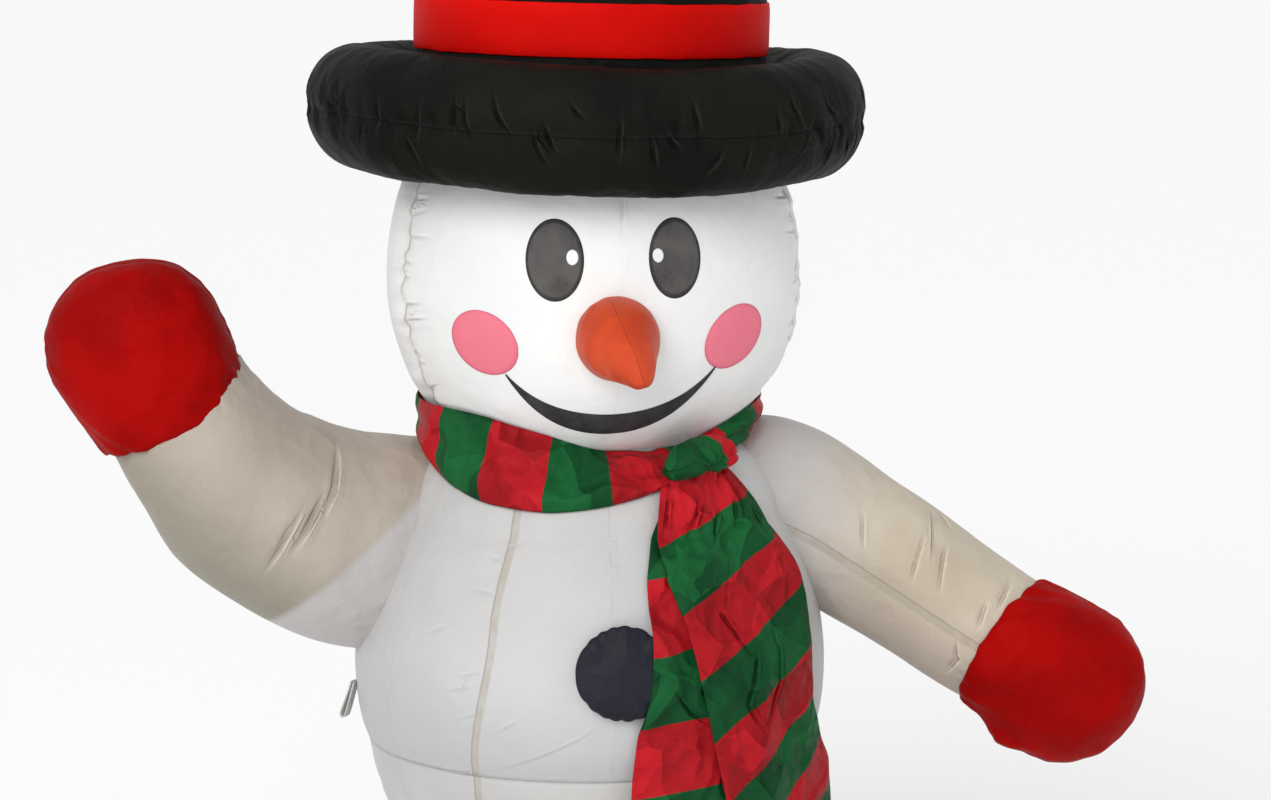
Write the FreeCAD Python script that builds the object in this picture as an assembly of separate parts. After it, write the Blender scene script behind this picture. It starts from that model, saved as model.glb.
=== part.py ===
import FreeCAD, Part
import math
import os

# Inflatable yard snowman, 5 ft size. Millimetres, +Z up, the face looks along -Y,
# the origin is on the body's axis at the ground.

os.makedirs("parts", exist_ok=True)
Vector = FreeCAD.Vector
origin = Vector(0, 0, 0)
up = Vector(0, 0, 1)

# driving dimensions
total_height = 1524
cloth = 1.5            # modelled wall of the inflated skin
clearance = 0.5        # between a moving piece and what it moves in

base_radius = 205
belly_radius = 312
belly_height = 205
waist_radius = 233
waist_height = 425
body_seam_radius = 262
body_seam_height = 535
chest_radius = 272
chest_height = 612
shoulder_radius = 224
shoulder_height = 800
neck_radius = 152
neck_height = 884
head_radius = 236
head_height = 1064
head_top_radius = 203
head_top_height = 1215

lower_arcs = [
    ((base_radius, 0), (belly_radius, belly_height), (240, 395)),
    ((240, 395), (waist_radius, waist_height), (240, 455)),
    ((240, 455), (252, 497), (body_seam_radius, body_seam_height)),
]
torso_arcs = [
    ((body_seam_radius, body_seam_height), (chest_radius, chest_height), (262, 700)),
    ((262, 700), (247, 752), (shoulder_radius, shoulder_height)),
    ((shoulder_radius, shoulder_height), (203, 855), (neck_radius, neck_height)),
]
head_arcs = [
    ((neck_radius, neck_height), (215, 965), (head_radius, head_height)),
    ((head_radius, head_height), (231, 1125), (214, 1185)),
    ((214, 1185), (209, 1201), (head_top_radius, head_top_height)),
]
all_arcs = lower_arcs + torso_arcs + head_arcs

brim_middle_radius = 261
brim_half_width = 57
brim_half_height = 75
brim_height = 1251
crown_radius = 203
crown_shoulder_height = 1480
crown_edge = 30
crown_dome = 9
band_low = 1320
band_high = 1380
band_proud = 3
hat_tilt = 1.4         # degrees, towards +X

eye_azimuth = 16
eye_height = 1106
eye_half_width = 33
eye_half_height = 45
glint_azimuth = 11.4
glint_height = 1110
cheek_azimuth = 36.5
cheek_height = 1014
cheek_half_width = 38
cheek_half_height = 36
mouth_half_width = 114
mouth_corner_height = 980
mouth_upper_height = 934
mouth_lower_height = 911
patch = 1.2
nose_stations = [
    ((3, -205, 1022), 46),
    ((5, -250, 1018), 40),
    ((9, -294, 1006), 28),
    ((15, -326, 990), 15),
    ((18, -341, 980), 6),
]

scarf_tilt = 12        # degrees, the front hangs lower
scarf_side_low = 877
scarf_side_high = 930
scarf_gap = 1.2
knot_azimuth = 36
knot_size = (72, 40, 56)
knot_height = 880
tail_thickness = 3
front_tail_azimuths = (16, 56)
front_tail_gap = 7
front_tail_end = 440
rear_tail_azimuths = (12.5, 42)
rear_tail_gap = 1.5
rear_tail_end = 452
tail_top = 828

button_radius = 52
button_depth = 16
button_curve = 100     # radius of its face
button_heights = {"torso_button": 661, "lower_button": 290}

raised_pivot = (-215, 0, 750)
raised_ball = 120
raised_swings = (-10, 12)  # degrees about +Y
raised_stations = [
    ((-225, -2, 752), 98),
    ((-300, -15, 768), 115),
    ((-352, -24, 786), 113),
    ((-400, -32, 820), 108),
    ((-440, -39, 866), 98),
    ((-466, -44, 914), 88),
]
raised_hand_length = 192
raised_thumb_lean = 42     # degrees from the hand's own direction
lowered_pivot = (240, 0, 772)
lowered_ball = 102
lowered_swings = (-8, 8)   # degrees about +Y
lowered_stations = [
    ((250, -6, 768), 78),
    ((302, -28, 742), 82),
    ((360, -50, 708), 81),
    ((420, -71, 674), 79),
    ((476, -92, 640), 76),
]
lowered_hand_length = 165
lowered_thumb_lean = 48

loop_azimuths = (-90, 110, 180)
loop_height = 560
loop_length = 46
loop_depth = 12
loop_width = 22
webbing = 1.6
stake_azimuths = (45, 135, 225, 315)
stake_circle_radius = 245
stake_tab_width = 26
eyelet_radius = 9
eyelet_hole_radius = 5
eyelet_thickness = 2.6

zip_height = 300
zip_half_tape = 14
zip_half_angle = 34    # degrees each side of the back
zip_rest_angle = -31
tooth_pitch = 1.3      # degrees
bar_radius = 1         # the slider's bar that its pull swings on
bar_stand_off = 8.4

fan_height = 130
fan_outer_radius = 60
fan_bore_radius = 56
fan_inner_end = 262
fan_outer_end = 340
fan_lip_radius = 76
fan_lip = 6
sleeve_radius = 62
blade_count = 7
blade_tip_radius = 53
shaft_radius = 1.5
running_gap = 0.05
inlet_radius = 5
inlet_bore_radius = 2.8

lead_radius = 2.5
lead_route = [
    (30, 256, 150), (29, 222, 168), (24, 176, 205), (16, 132, 258), (8, 96, 318),
    (2, 70, 384), (-3, 51, 453), (-6, 37, 524), (-7, 27, 596), (-6, 19, 669),
    (-4, 12, 742), (-1, 7, 816), (2, 3, 888), (3, 0, 958), (2, -2, 1022),
]
light_places = ((2, 70, 384), (-7, 27, 596), (-4, 12, 742), (2, -2, 1034))


def save(name, shape):
    shape.exportStep("parts/" + name + ".step")


def facing(azimuth):
    """The outward direction at an azimuth counted from the front towards +X."""
    turn = math.radians(azimuth)
    return Vector(math.sin(turn), -math.cos(turn), 0)


def circle_through(first, middle, last):
    """The centre and radius of an outline arc."""
    points = [Vector(radius, 0, height) for radius, height in (first, middle, last)]
    curve = Part.Arc(*points).toShape().Curve
    return curve.Center, curve.Radius


def skin_radius(height):
    """The skin's radius at a height below the hat."""
    for first, middle, last in all_arcs:
        if first[1] <= height <= last[1]:
            centre, radius = circle_through(first, middle, last)
            reach = math.sqrt(radius ** 2 - (height - centre.z) ** 2)
            side = 1 if middle[0] > centre.x else -1
            return centre.x + side * reach
    return head_top_radius


def outline(arcs, shift):
    """The outline's edges in the XZ plane, moved out by shift."""
    edges = []
    for first, middle, last in arcs:
        points = [Vector(radius + shift, 0, height) for radius, height in (first, middle, last)]
        edges.append(Part.Arc(*points).toShape())
    return edges


def line(start, end):
    return Part.LineSegment(Vector(*start), Vector(*end)).toShape()


def turned(edges, degrees=360):
    """The solid swept by a closed outline turning about the axis."""
    wire = Part.Wire(Part.__sortEdges__(edges))
    return Part.Face(wire).revolve(origin, up, degrees)


def dome(radius, low, high):
    """An arc that rises from a rim to the axis and is level there."""
    rise = high - low
    ball = (radius ** 2 + rise ** 2) / (2 * rise)
    half = math.asin(min(radius / ball, 1)) / 2
    middle = Vector(ball * math.sin(half), 0, high - ball * (1 - math.cos(half)))
    return Part.Arc(Vector(radius, 0, low), middle, Vector(0, 0, high)).toShape()


def ring_shell(arcs, wall):
    """A hollow ring of cloth along the outline, open above and below."""
    low = arcs[0][0]
    high = arcs[-1][2]
    ends = [
        line((low[0] - wall, 0, low[1]), (low[0], 0, low[1])),
        line((high[0] - wall, 0, high[1]), (high[0], 0, high[1])),
    ]
    return turned(outline(arcs, 0) + outline(arcs, -wall) + ends)


def envelope(shift):
    """The whole space inside the skin, moved out by shift."""
    low = all_arcs[0][0]
    high = all_arcs[-1][2]
    ends = [
        line((0, 0, low[1]), (low[0] + shift, 0, low[1])),
        line((0, 0, high[1]), (high[0] + shift, 0, high[1])),
        line((0, 0, low[1]), (0, 0, high[1])),
    ]
    return turned(outline(all_arcs, shift) + ends)


def skin_layer(inner, outer):
    return envelope(outer).cut(envelope(inner))


def pointing(shape, start, direction):
    """Turns a shape made along +Z to a direction and puts its foot at start."""
    shape.Placement = FreeCAD.Placement(Vector(*start), FreeCAD.Rotation(up, direction)) * shape.Placement
    return shape


def limb(stations, shrink=0):
    """A smooth tube through circles given by centre and radius."""
    centres = [Vector(*centre) for centre, radius in stations]
    wires = []
    for index, (centre, radius) in enumerate(stations):
        before = centres[max(index - 1, 0)]
        after = centres[min(index + 1, len(centres) - 1)]
        circle = Part.Circle(centres[index], after - before, radius - shrink)
        wires.append(Part.Wire(circle.toShape()))
    return Part.makeLoft(wires, True, False)


def lower_body():
    body = ring_shell(lower_arcs, cloth)
    fan_hole = Part.makeCylinder(sleeve_radius, 120, Vector(0, 240, fan_height), Vector(0, 1, 0))
    return body.cut(fan_hole)


def torso():
    body = ring_shell(torso_arcs, cloth)
    for pivot, ball in ((raised_pivot, raised_ball), (lowered_pivot, lowered_ball)):
        body = body.cut(Part.makeSphere(ball + clearance, Vector(*pivot)))
    return body


def base_panel():
    return Part.makeCylinder(base_radius - cloth, cloth)


def tilted_hat(shape):
    shape.rotate(Vector(0, 0, head_top_height), Vector(0, 1, 0), hat_tilt)
    return shape


def hat_brim():
    def section(shrink):
        oval = Part.Ellipse(origin, brim_half_height - shrink, brim_half_width - shrink)
        face = Part.Face(Part.Wire(oval.toShape()))
        face.rotate(origin, up, 90)
        face.rotate(origin, Vector(1, 0, 0), 90)
        face.translate(Vector(brim_middle_radius, 0, brim_height))
        return face.revolve(origin, up, 360)
    return tilted_hat(section(0).cut(section(cloth)))


def hat_crown():
    def side(shrink, low):
        radius = crown_radius - shrink
        top = total_height - 3 - shrink
        edge = Part.Arc(
            Vector(radius, 0, crown_shoulder_height),
            Vector(radius - 9, 0, crown_shoulder_height + 22),
            Vector(radius - crown_edge, 0, top - crown_dome),
        ).toShape()
        return turned([
            line((0, 0, low), (radius, 0, low)),
            line((radius, 0, low), (radius, 0, crown_shoulder_height)),
            edge,
            dome(radius - crown_edge, top - crown_dome, top),
            line((0, 0, top), (0, 0, low)),
        ])
    return tilted_hat(side(0, head_top_height + 6).cut(side(cloth, head_top_height)))


def hat_band():
    outer = Part.makeCylinder(crown_radius + band_proud, band_high - band_low, Vector(0, 0, band_low))
    inner = Part.makeCylinder(crown_radius, band_high - band_low, Vector(0, 0, band_low))
    return tilted_hat(outer.cut(inner))


def oval_patch(azimuth, height, half_width, half_height, inner, lean=0):
    """A sewn oval that follows the head."""
    long_half = max(half_width, half_height)
    short_half = min(half_width, half_height)
    oval = Part.Face(Part.Wire(Part.Ellipse(origin, long_half, short_half).toShape()))
    if half_height > half_width:
        oval.rotate(origin, up, 90)
    oval.rotate(origin, up, lean)
    oval.rotate(origin, Vector(1, 0, 0), 90)
    oval.translate(Vector(0, -120, height))
    column = oval.extrude(Vector(0, -160, 0))
    column.rotate(origin, up, azimuth)
    return column.common(skin_layer(inner, inner + patch))


def mouth_patch():
    left = Vector(-mouth_half_width, -120, mouth_corner_height)
    right = Vector(mouth_half_width, -120, mouth_corner_height)
    upper = Part.Arc(left, Vector(0, -120, mouth_upper_height), right).toShape()
    lower = Part.Arc(left, Vector(0, -120, mouth_lower_height), right).toShape()
    crescent = Part.Face(Part.Wire([upper, lower]))
    return crescent.extrude(Vector(0, -160, 0)).common(skin_layer(0, patch))


def face_patches():
    for side, sign in (("left", -1), ("right", 1)):
        save(side + "_eye", oval_patch(sign * eye_azimuth, eye_height, eye_half_width, eye_half_height, 0))
        save(side + "_eye_glint", oval_patch(sign * glint_azimuth, glint_height, 6.5, 8, patch))
        save(side + "_cheek", oval_patch(
            sign * cheek_azimuth, cheek_height, cheek_half_width, cheek_half_height, 0, -15 * sign))
    save("mouth", mouth_patch())


def nose():
    return limb(nose_stations).cut(envelope(0.2))


def button(height):
    """A stuffed disc that lies on the skin."""
    cushion = Part.makeSphere(button_curve)
    cushion = cushion.common(Part.makeCylinder(button_radius, 40, Vector(0, 0, button_curve - 40)))
    cushion.translate(Vector(0, 0, button_depth - button_curve))
    cushion = pointing(cushion, (0, -skin_radius(height), height), Vector(0, -1, 0))
    return cushion.cut(envelope(0.2))


def scarf_cuff_outer():
    """The space out to the scarf's outside, turned about the axis."""
    edges = [
        Part.Arc(Vector(236, 0, 790), Vector(222, 0, 845), Vector(202, 0, 885)).toShape(),
        Part.Arc(Vector(202, 0, 885), Vector(204, 0, 925), Vector(232, 0, 985)).toShape(),
        line((0, 0, 790), (236, 0, 790)),
        line((0, 0, 985), (232, 0, 985)),
        line((0, 0, 790), (0, 0, 985)),
    ]
    return turned(edges)


def scarf_wrap():
    size = 700
    thickness = scarf_side_high - scarf_side_low
    slab = Part.makeBox(size, size, thickness, Vector(-size / 2, -size / 2, scarf_side_low))
    slab.rotate(Vector(0, 0, (scarf_side_low + scarf_side_high) / 2), Vector(1, 0, 0), scarf_tilt)
    return scarf_cuff_outer().common(slab).cut(envelope(scarf_gap))


def scarf_knot():
    width, depth, height = knot_size
    knot = Part.makeBox(width, depth, height, Vector(-width / 2, -depth / 2, -height / 2))
    knot = knot.makeFillet(14, knot.Edges)
    centre = facing(knot_azimuth) * 214
    knot.rotate(origin, up, knot_azimuth)
    knot.translate(centre + Vector(0, 0, knot_height))
    return knot.cut(scarf_cuff_outer()).cut(envelope(scarf_gap))


def scarf_tail(azimuths, gap, end):
    """A hanging end: along the chest down to its widest place, then straight down."""
    first, last = azimuths
    low = torso_arcs[0][0]
    high = torso_arcs[-1][2]
    far = gap + tail_thickness
    ends = [
        line((low[0] + gap, 0, low[1]), (low[0] + far, 0, low[1])),
        line((high[0] + gap, 0, high[1]), (high[0] + far, 0, high[1])),
    ]
    against = turned(outline(torso_arcs, gap) + outline(torso_arcs, far) + ends, last - first)
    against = against.common(Part.makeCylinder(500, tail_top - chest_height, Vector(0, 0, chest_height)))
    hanging = turned([
        line((chest_radius + gap, 0, end), (chest_radius + gap, 0, chest_height)),
        line((chest_radius + far, 0, end), (chest_radius + far, 0, chest_height)),
        line((chest_radius + gap, 0, end), (chest_radius + far, 0, end)),
        line((chest_radius + gap, 0, chest_height), (chest_radius + far, 0, chest_height)),
    ], last - first)
    tail = against.fuse(hanging)
    tail.rotate(origin, up, first - 90)
    return tail


def arm(pivot, ball, stations, swings):
    """A hollow arm with a ball-shaped root that turns inside the armhole."""
    centre = Vector(*pivot)
    sleeve = limb(stations).cut(limb(stations, cloth)).cut(Part.makeSphere(ball - cloth, centre))
    for swing in swings:
        body = envelope(1.5)
        body.rotate(centre, Vector(0, 1, 0), -swing)
        sleeve = sleeve.cut(body)
    root = Part.makeSphere(ball, centre).cut(Part.makeSphere(ball - cloth, centre))
    root = root.cut(limb(stations, cloth)).cut(envelope(-8))
    return root.fuse(sleeve)


def bullet(root_radius, full_radius, length):
    """A rounded blank along +Z, from a flat root to a round tip."""
    widest = Vector(full_radius, 0, length * 0.42)
    root = Vector(root_radius, 0, 0)
    swell = Vector((root_radius + full_radius) / 2 + 1, 0, length * 0.2)
    edges = [
        Part.Arc(root, swell, widest).toShape(),
        dome(full_radius, widest.z, length),
        line((0, 0, 0), (root_radius, 0, 0)),
        line((0, 0, 0), (0, 0, length)),
    ]
    if length - widest.z > full_radius:
        straight = length - full_radius
        edges[1] = dome(full_radius, straight, length)
        edges.append(line((full_radius, 0, widest.z), (full_radius, 0, straight)))
    return turned(edges)


def mitten(stations, length, lean, lean_axis):
    """A hollow mitten with its thumb, on the arm's last circle."""
    wrist = Vector(*stations[-1][0])
    direction = wrist - Vector(*stations[-2][0])
    direction.normalize()
    radius = stations[-1][1]
    thumb_direction = FreeCAD.Rotation(Vector(*lean_axis), lean).multVec(direction)

    def blank(shrink):
        palm = pointing(bullet(radius - shrink, radius + 3 - shrink, length - shrink), wrist, direction)
        thumb_root = wrist + direction * 22 + thumb_direction * 20
        thumb = pointing(bullet(34 - shrink, 37 - shrink, 118 - shrink), thumb_root, thumb_direction)
        return palm.fuse(thumb)

    return blank(0).cut(blank(cloth))


def tether_loops():
    """Sewn loops of webbing, the ring standing off the skin."""
    loops = []
    for azimuth in loop_azimuths:
        def ring(shrink):
            half = loop_depth / 2 - shrink
            straight = loop_length - loop_depth
            middle = Part.makeBox(2 * half, loop_width, straight, Vector(-half, 0, 0))
            ends = [Part.makeCylinder(half, loop_width, Vector(0, 0, height), Vector(0, 1, 0))
                    for height in (0, straight)]
            return middle.fuse(ends[0]).fuse(ends[1])
        loop = ring(0).cut(ring(webbing)).removeSplitter()
        stand_off = max(skin_radius(loop_height + step) for step in (0, 20, 40)) + loop_depth / 2 + 0.4
        loop.translate(Vector(stand_off, -loop_width / 2, loop_height))
        loop.rotate(origin, up, azimuth - 90)
        loops.append(loop)
    return Part.makeCompound(loops)


def stake_tabs():
    tabs = []
    eyelets = []
    for azimuth in stake_azimuths:
        root = base_radius + 4
        length = stake_circle_radius + 18 - root
        tab = Part.makeBox(length, stake_tab_width, webbing, Vector(root, -stake_tab_width / 2, 0))
        place = Vector(stake_circle_radius, 0, 0)
        tab = tab.cut(Part.makeCylinder(eyelet_radius, webbing, place))
        eyelet = Part.makeCylinder(eyelet_radius, eyelet_thickness, place)
        eyelet = eyelet.cut(Part.makeCylinder(eyelet_hole_radius, eyelet_thickness, place))
        for shape in (tab, eyelet):
            shape.rotate(origin, up, azimuth)
        tabs.append(tab)
        eyelets.append(eyelet)
    save("stake_tabs", Part.makeCompound(tabs))
    save("stake_eyelets", Part.makeCompound(eyelets))


def zip_strip(half_height, inner, outer):
    """A curved strip across the back that follows the skin."""
    heights = (zip_height - half_height, zip_height, zip_height + half_height)
    rows = []
    for shift in (inner, outer):
        rows.append([Vector(skin_radius(height) + shift, 0, height) for height in heights])
    edges = [Part.Arc(*row).toShape() for row in rows]
    edges.append(Part.LineSegment(rows[0][0], rows[1][0]).toShape())
    edges.append(Part.LineSegment(rows[0][2], rows[1][2]).toShape())
    strip = turned(edges, 2 * zip_half_angle)
    strip.rotate(origin, up, 90 - zip_half_angle)
    return strip


def zip_lean():
    """The skin's slope at the zip, in degrees from upright."""
    rise = skin_radius(zip_height - 5) - skin_radius(zip_height + 5)
    return math.degrees(math.atan2(rise, 10))


def on_zip(shape, angle):
    """Puts a shape made about the origin, facing +X, on the zip at an angle from the back."""
    shape.rotate(origin, Vector(0, 1, 0), -zip_lean())
    shape.translate(Vector(skin_radius(zip_height), 0, zip_height))
    shape.rotate(origin, up, 90 + angle)
    return shape


def zip_fastener():
    save("zip_tape", zip_strip(zip_half_tape, 0.2, 1.2))
    teeth = []
    count = int(2 * (zip_half_angle - 4) / tooth_pitch)
    for index in range(count + 1):
        side = 0.6 if index % 2 else -0.6
        tooth = Part.makeBox(1.6, 4.2, 3.6, Vector(1.3, -2.1, side - 1.8))
        teeth.append(on_zip(tooth, -zip_half_angle + 4 + index * tooth_pitch))
    save("zip_teeth", Part.makeCompound(teeth))
    stops = [on_zip(Part.makeBox(2.2, 3, 8, Vector(1.3, -1.5, -4)), angle)
             for angle in (-zip_half_angle + 1, zip_half_angle - 1)]
    save("zip_stops", Part.makeCompound(stops))
    plate = Part.makeBox(2, 15, 11, Vector(3.4, -7.5, -5.5))
    plate = plate.makeFillet(0.9, plate.Edges)
    lips = [Part.makeBox(2.4, 13, 1.2, Vector(1.9, -6.5, height)) for height in (-5.2, 4)]
    posts = [Part.makeBox(5, 1.4, 2.4, Vector(4.8, place, -1.2)) for place in (-4, 2.6)]
    bar = Part.makeCylinder(bar_radius, 8, Vector(bar_stand_off, -4, 0), Vector(0, 1, 0))
    slider = plate
    for piece in lips + posts + [bar]:
        slider = slider.fuse(piece)
    save("zip_slider", on_zip(slider, zip_rest_angle))
    eye = Part.makeCylinder(2.4, 4.4, Vector(bar_stand_off, -2.2, 0), Vector(0, 1, 0))
    tab = Part.makeBox(1.6, 4.4, 30, Vector(bar_stand_off, -2.2, -32))
    grip = Part.makeBox(1.6, 9, 20, Vector(bar_stand_off, -4.5, -34))
    hole = Part.makeCylinder(bar_radius + running_gap, 4.4, Vector(bar_stand_off, -2.2, 0), Vector(0, 1, 0))
    save("zip_pull", on_zip(eye.fuse(tab).fuse(grip).cut(hole), zip_rest_angle))


def along_fan(radius, start, end, offset=(0, 0)):
    """A cylinder on the fan's axis, or beside it, from one depth to another."""
    foot = Vector(offset[0], start, fan_height + offset[1])
    return Part.makeCylinder(radius, end - start, foot, Vector(0, 1, 0))


def fan_spoke(angle, inner, outer, width, start, end):
    spoke = Part.makeBox(outer - inner, end - start, width, Vector(inner, start, fan_height - width / 2))
    spoke.rotate(Vector(0, 0, fan_height), Vector(0, 1, 0), angle)
    return spoke


def blower():
    inlet_place = (0, fan_lip_radius - 7)
    lip_start = fan_outer_end - fan_lip
    housing = along_fan(fan_outer_radius, fan_inner_end, fan_outer_end)
    housing = housing.fuse(along_fan(fan_lip_radius, lip_start, fan_outer_end))
    housing = housing.cut(along_fan(fan_bore_radius, fan_inner_end, fan_outer_end))
    housing = housing.cut(along_fan(inlet_radius, lip_start, fan_outer_end, inlet_place))
    screw_places = [FreeCAD.Rotation(Vector(0, 1, 0), angle).multVec(Vector(66, 0, 0))
                    for angle in (45, 135, 225, 315)]
    screws = []
    for place in screw_places:
        offset = (place.x, place.z)
        housing = housing.cut(along_fan(1.5, lip_start, fan_outer_end, offset))
        head = along_fan(3, fan_outer_end + 3, fan_outer_end + 5, offset)
        screws.append(head.fuse(along_fan(1.5, lip_start, fan_outer_end + 3, offset)))
    save("fan_housing", housing)
    save("housing_screws", Part.makeCompound(screws))

    grille = along_fan(70, fan_outer_end, fan_outer_end + 3).cut(
        along_fan(fan_bore_radius, fan_outer_end, fan_outer_end + 3))
    for radius in (12, 24, 35, 46):
        grille = grille.fuse(along_fan(radius + 1.2, fan_outer_end, fan_outer_end + 3).cut(
            along_fan(radius - 1.2, fan_outer_end, fan_outer_end + 3)))
    for step in range(6):
        grille = grille.fuse(fan_spoke(30 + step * 60, 12, 58, 2.4, fan_outer_end, fan_outer_end + 3))
    for place in screw_places:
        grille = grille.cut(along_fan(1.5, fan_outer_end, fan_outer_end + 3, (place.x, place.z)))
    grille = grille.cut(along_fan(inlet_radius + 1, fan_outer_end, fan_outer_end + 3, inlet_place))
    save("fan_grille", grille)

    hub = along_fan(20, 268, 284)
    for step in range(3):
        hub = hub.fuse(fan_spoke(90 + step * 120, 17, fan_bore_radius, 5, 270, 282))
    hub = hub.cut(along_fan(17.5, 268, 284))
    save("motor_mount", hub.common(along_fan(fan_bore_radius, 260, 300)))
    motor = along_fan(17.5, 264, 300).fuse(along_fan(6, 300, 302))
    save("motor", motor.cut(along_fan(shaft_radius + running_gap, 290, 302)))
    save("motor_shaft", along_fan(shaft_radius, 291, 322))

    hub_ring = along_fan(15, 304, 322).cut(along_fan(shaft_radius, 304, 322))
    impeller = hub_ring
    for step in range(blade_count):
        blade = Part.makeBox(40, 1.8, 20, Vector(13.5, 312.1, fan_height - 10))
        blade.rotate(Vector(0, 313, fan_height), Vector(1, 0, 0), 35)
        blade.rotate(Vector(0, 0, fan_height), Vector(0, 1, 0), step * 360 / blade_count)
        impeller = impeller.fuse(blade)
    bounds = along_fan(blade_tip_radius, 304, 322).cut(along_fan(shaft_radius, 304, 322))
    save("impeller", impeller.common(bounds))

    inlet = along_fan(inlet_radius, 322, fan_outer_end + 2, inlet_place)
    inlet = inlet.cut(along_fan(inlet_bore_radius, 330, fan_outer_end + 2, inlet_place))
    save("power_inlet", inlet.fuse(along_fan(1, 329, fan_outer_end, inlet_place)))

    save("fan_sleeve", along_fan(sleeve_radius, 252, 333).cut(along_fan(fan_outer_radius, 252, 333)))
    strap = along_fan(sleeve_radius + 1.5, 319, 331).cut(along_fan(sleeve_radius, 319, 331))
    save("sleeve_strap", strap)


def lead_tube():
    """The lamp lead: straight runs joined by tangent arcs."""
    points = [Vector(*point) for point in lead_route]
    edges = []
    radii = []
    start = points[0]
    for before, corner, after in zip(points, points[1:], points[2:]):
        arriving = (corner - before).normalize()
        leaving = (after - corner).normalize()
        half_turn = arriving.getAngle(leaving) / 2
        setback = 0.45 * min((corner - before).Length, (after - corner).Length)
        radii.append(setback / math.tan(half_turn))
        first = corner - arriving * setback
        last = corner + leaving * setback
        inward = (leaving - arriving).normalize()
        depth = radii[-1] * (1 / math.cos(half_turn) - 1)
        edges.append(Part.LineSegment(start, first).toShape())
        edges.append(Part.Arc(first, corner + inward * depth, last).toShape())
        start = last
    edges.append(Part.LineSegment(start, points[-1]).toShape())
    path = Part.Wire(edges)
    section = Part.Wire(Part.Circle(points[0], points[1] - points[0], lead_radius).toShape())
    tube = path.makePipeShell([section], True, False)
    wanted = math.pi * lead_radius ** 2 * path.Length
    print("lead length", round(path.Length), "volume ratio", round(tube.Volume / wanted, 4))
    print("lead radii", [round(radius) for radius in radii])
    return tube


def lights():
    lead = lead_tube()
    save("lamp_lead", lead)
    connector = Part.makeCylinder(5, 14, Vector(*lead_route[0]) + Vector(0, -8, 4.2), Vector(0, 1, 0))
    save("lead_connector", connector.cut(lead))
    holders = []
    bulbs = []
    for place in light_places:
        foot = Vector(*place) + Vector(0, 0, -14)
        collar = Part.makeCylinder(7, 28, foot)
        socket = Part.makeCylinder(8, 22, foot + Vector(4, 0, 14), Vector(1, 0, 0))
        holders.append(collar.fuse(socket).cut(lead))
        tip = foot + Vector(26, 0, 14)
        bulb = pointing(bullet(7, 9, 34), tip, Vector(1, 0, 0))
        bulbs.append(bulb)
    save("lamp_holders", Part.makeCompound(holders))
    save("lamp_bulbs", Part.makeCompound(bulbs))
    top = light_places[-1]
    hanger_length = total_height - 22 - top[2] - 16
    hanger = Part.makeBox(12, webbing, hanger_length, Vector(top[0] - 6, top[1], top[2] + 16))
    save("lamp_hanger", hanger)


def weight_bags():
    bags = []
    for side in (-1, 1):
        bag = Part.makeBox(130, 170, 34, Vector(side * 85 - 65, -125, cloth + 0.5))
        bags.append(bag.makeFillet(14, bag.Edges))
    return Part.makeCompound(bags)


save("lower_body", lower_body())
save("base_panel", base_panel())
save("torso", torso())
save("head", ring_shell(head_arcs, cloth))
save("hat_brim", hat_brim())
save("hat_crown", hat_crown())
save("hat_band", hat_band())
face_patches()
save("nose", nose())
for name, height in button_heights.items():
    save(name, button(height))
save("scarf_wrap", scarf_wrap())
save("scarf_knot", scarf_knot())
save("scarf_front_tail", scarf_tail(front_tail_azimuths, front_tail_gap, front_tail_end))
save("scarf_rear_tail", scarf_tail(rear_tail_azimuths, rear_tail_gap, rear_tail_end))
save("raised_arm", arm(raised_pivot, raised_ball, raised_stations, raised_swings))
save("raised_mitten", mitten(raised_stations, raised_hand_length, raised_thumb_lean, (0, 1, 0)))
save("lowered_arm", arm(lowered_pivot, lowered_ball, lowered_stations, lowered_swings))
save("lowered_mitten", mitten(lowered_stations, lowered_hand_length, lowered_thumb_lean, (0, 1, 0)))
save("tether_loops", tether_loops())
stake_tabs()
zip_fastener()
blower()
lights()
save("weight_bags", weight_bags())
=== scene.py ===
import math
import random
import bpy
import bmesh
from mathutils import Matrix, Vector, noise
from mathutils.bvhtree import BVHTree


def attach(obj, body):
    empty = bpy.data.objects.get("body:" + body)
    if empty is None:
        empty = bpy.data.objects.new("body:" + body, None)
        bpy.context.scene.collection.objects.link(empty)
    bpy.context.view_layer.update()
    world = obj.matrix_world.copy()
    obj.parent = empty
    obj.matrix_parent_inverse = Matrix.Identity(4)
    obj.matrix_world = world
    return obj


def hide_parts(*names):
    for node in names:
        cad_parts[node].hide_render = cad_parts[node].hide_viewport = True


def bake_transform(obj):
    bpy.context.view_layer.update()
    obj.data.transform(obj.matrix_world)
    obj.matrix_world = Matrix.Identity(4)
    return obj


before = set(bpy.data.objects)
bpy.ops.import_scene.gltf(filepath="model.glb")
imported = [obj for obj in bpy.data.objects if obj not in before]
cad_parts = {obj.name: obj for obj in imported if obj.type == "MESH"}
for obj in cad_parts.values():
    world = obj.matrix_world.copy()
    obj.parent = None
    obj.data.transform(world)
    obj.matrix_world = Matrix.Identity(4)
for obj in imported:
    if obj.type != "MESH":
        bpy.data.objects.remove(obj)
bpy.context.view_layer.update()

print("frame loaded")


# camera, light and floor
viewing = {"turn": -6.5, "distance": 3.9, "height": 1.5, "aimHeight": 0.92, "aside": 0.053, "lens": 97.1}
lamps = [
    {"name": "keyLight", "kind": "SUN", "place": (-2.2, -4.4, 3.6), "size": 0.6, "power": 1.45},
    {"name": "softBox", "kind": "AREA", "place": (-1.6, -3.2, 3.2), "size": 1.8, "power": 22},
]
studio = {"light": 0.77, "aimHeight": 0.9, "floorSize": 90.0, "floorColour": (0.96, 0.96, 0.96)}


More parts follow.
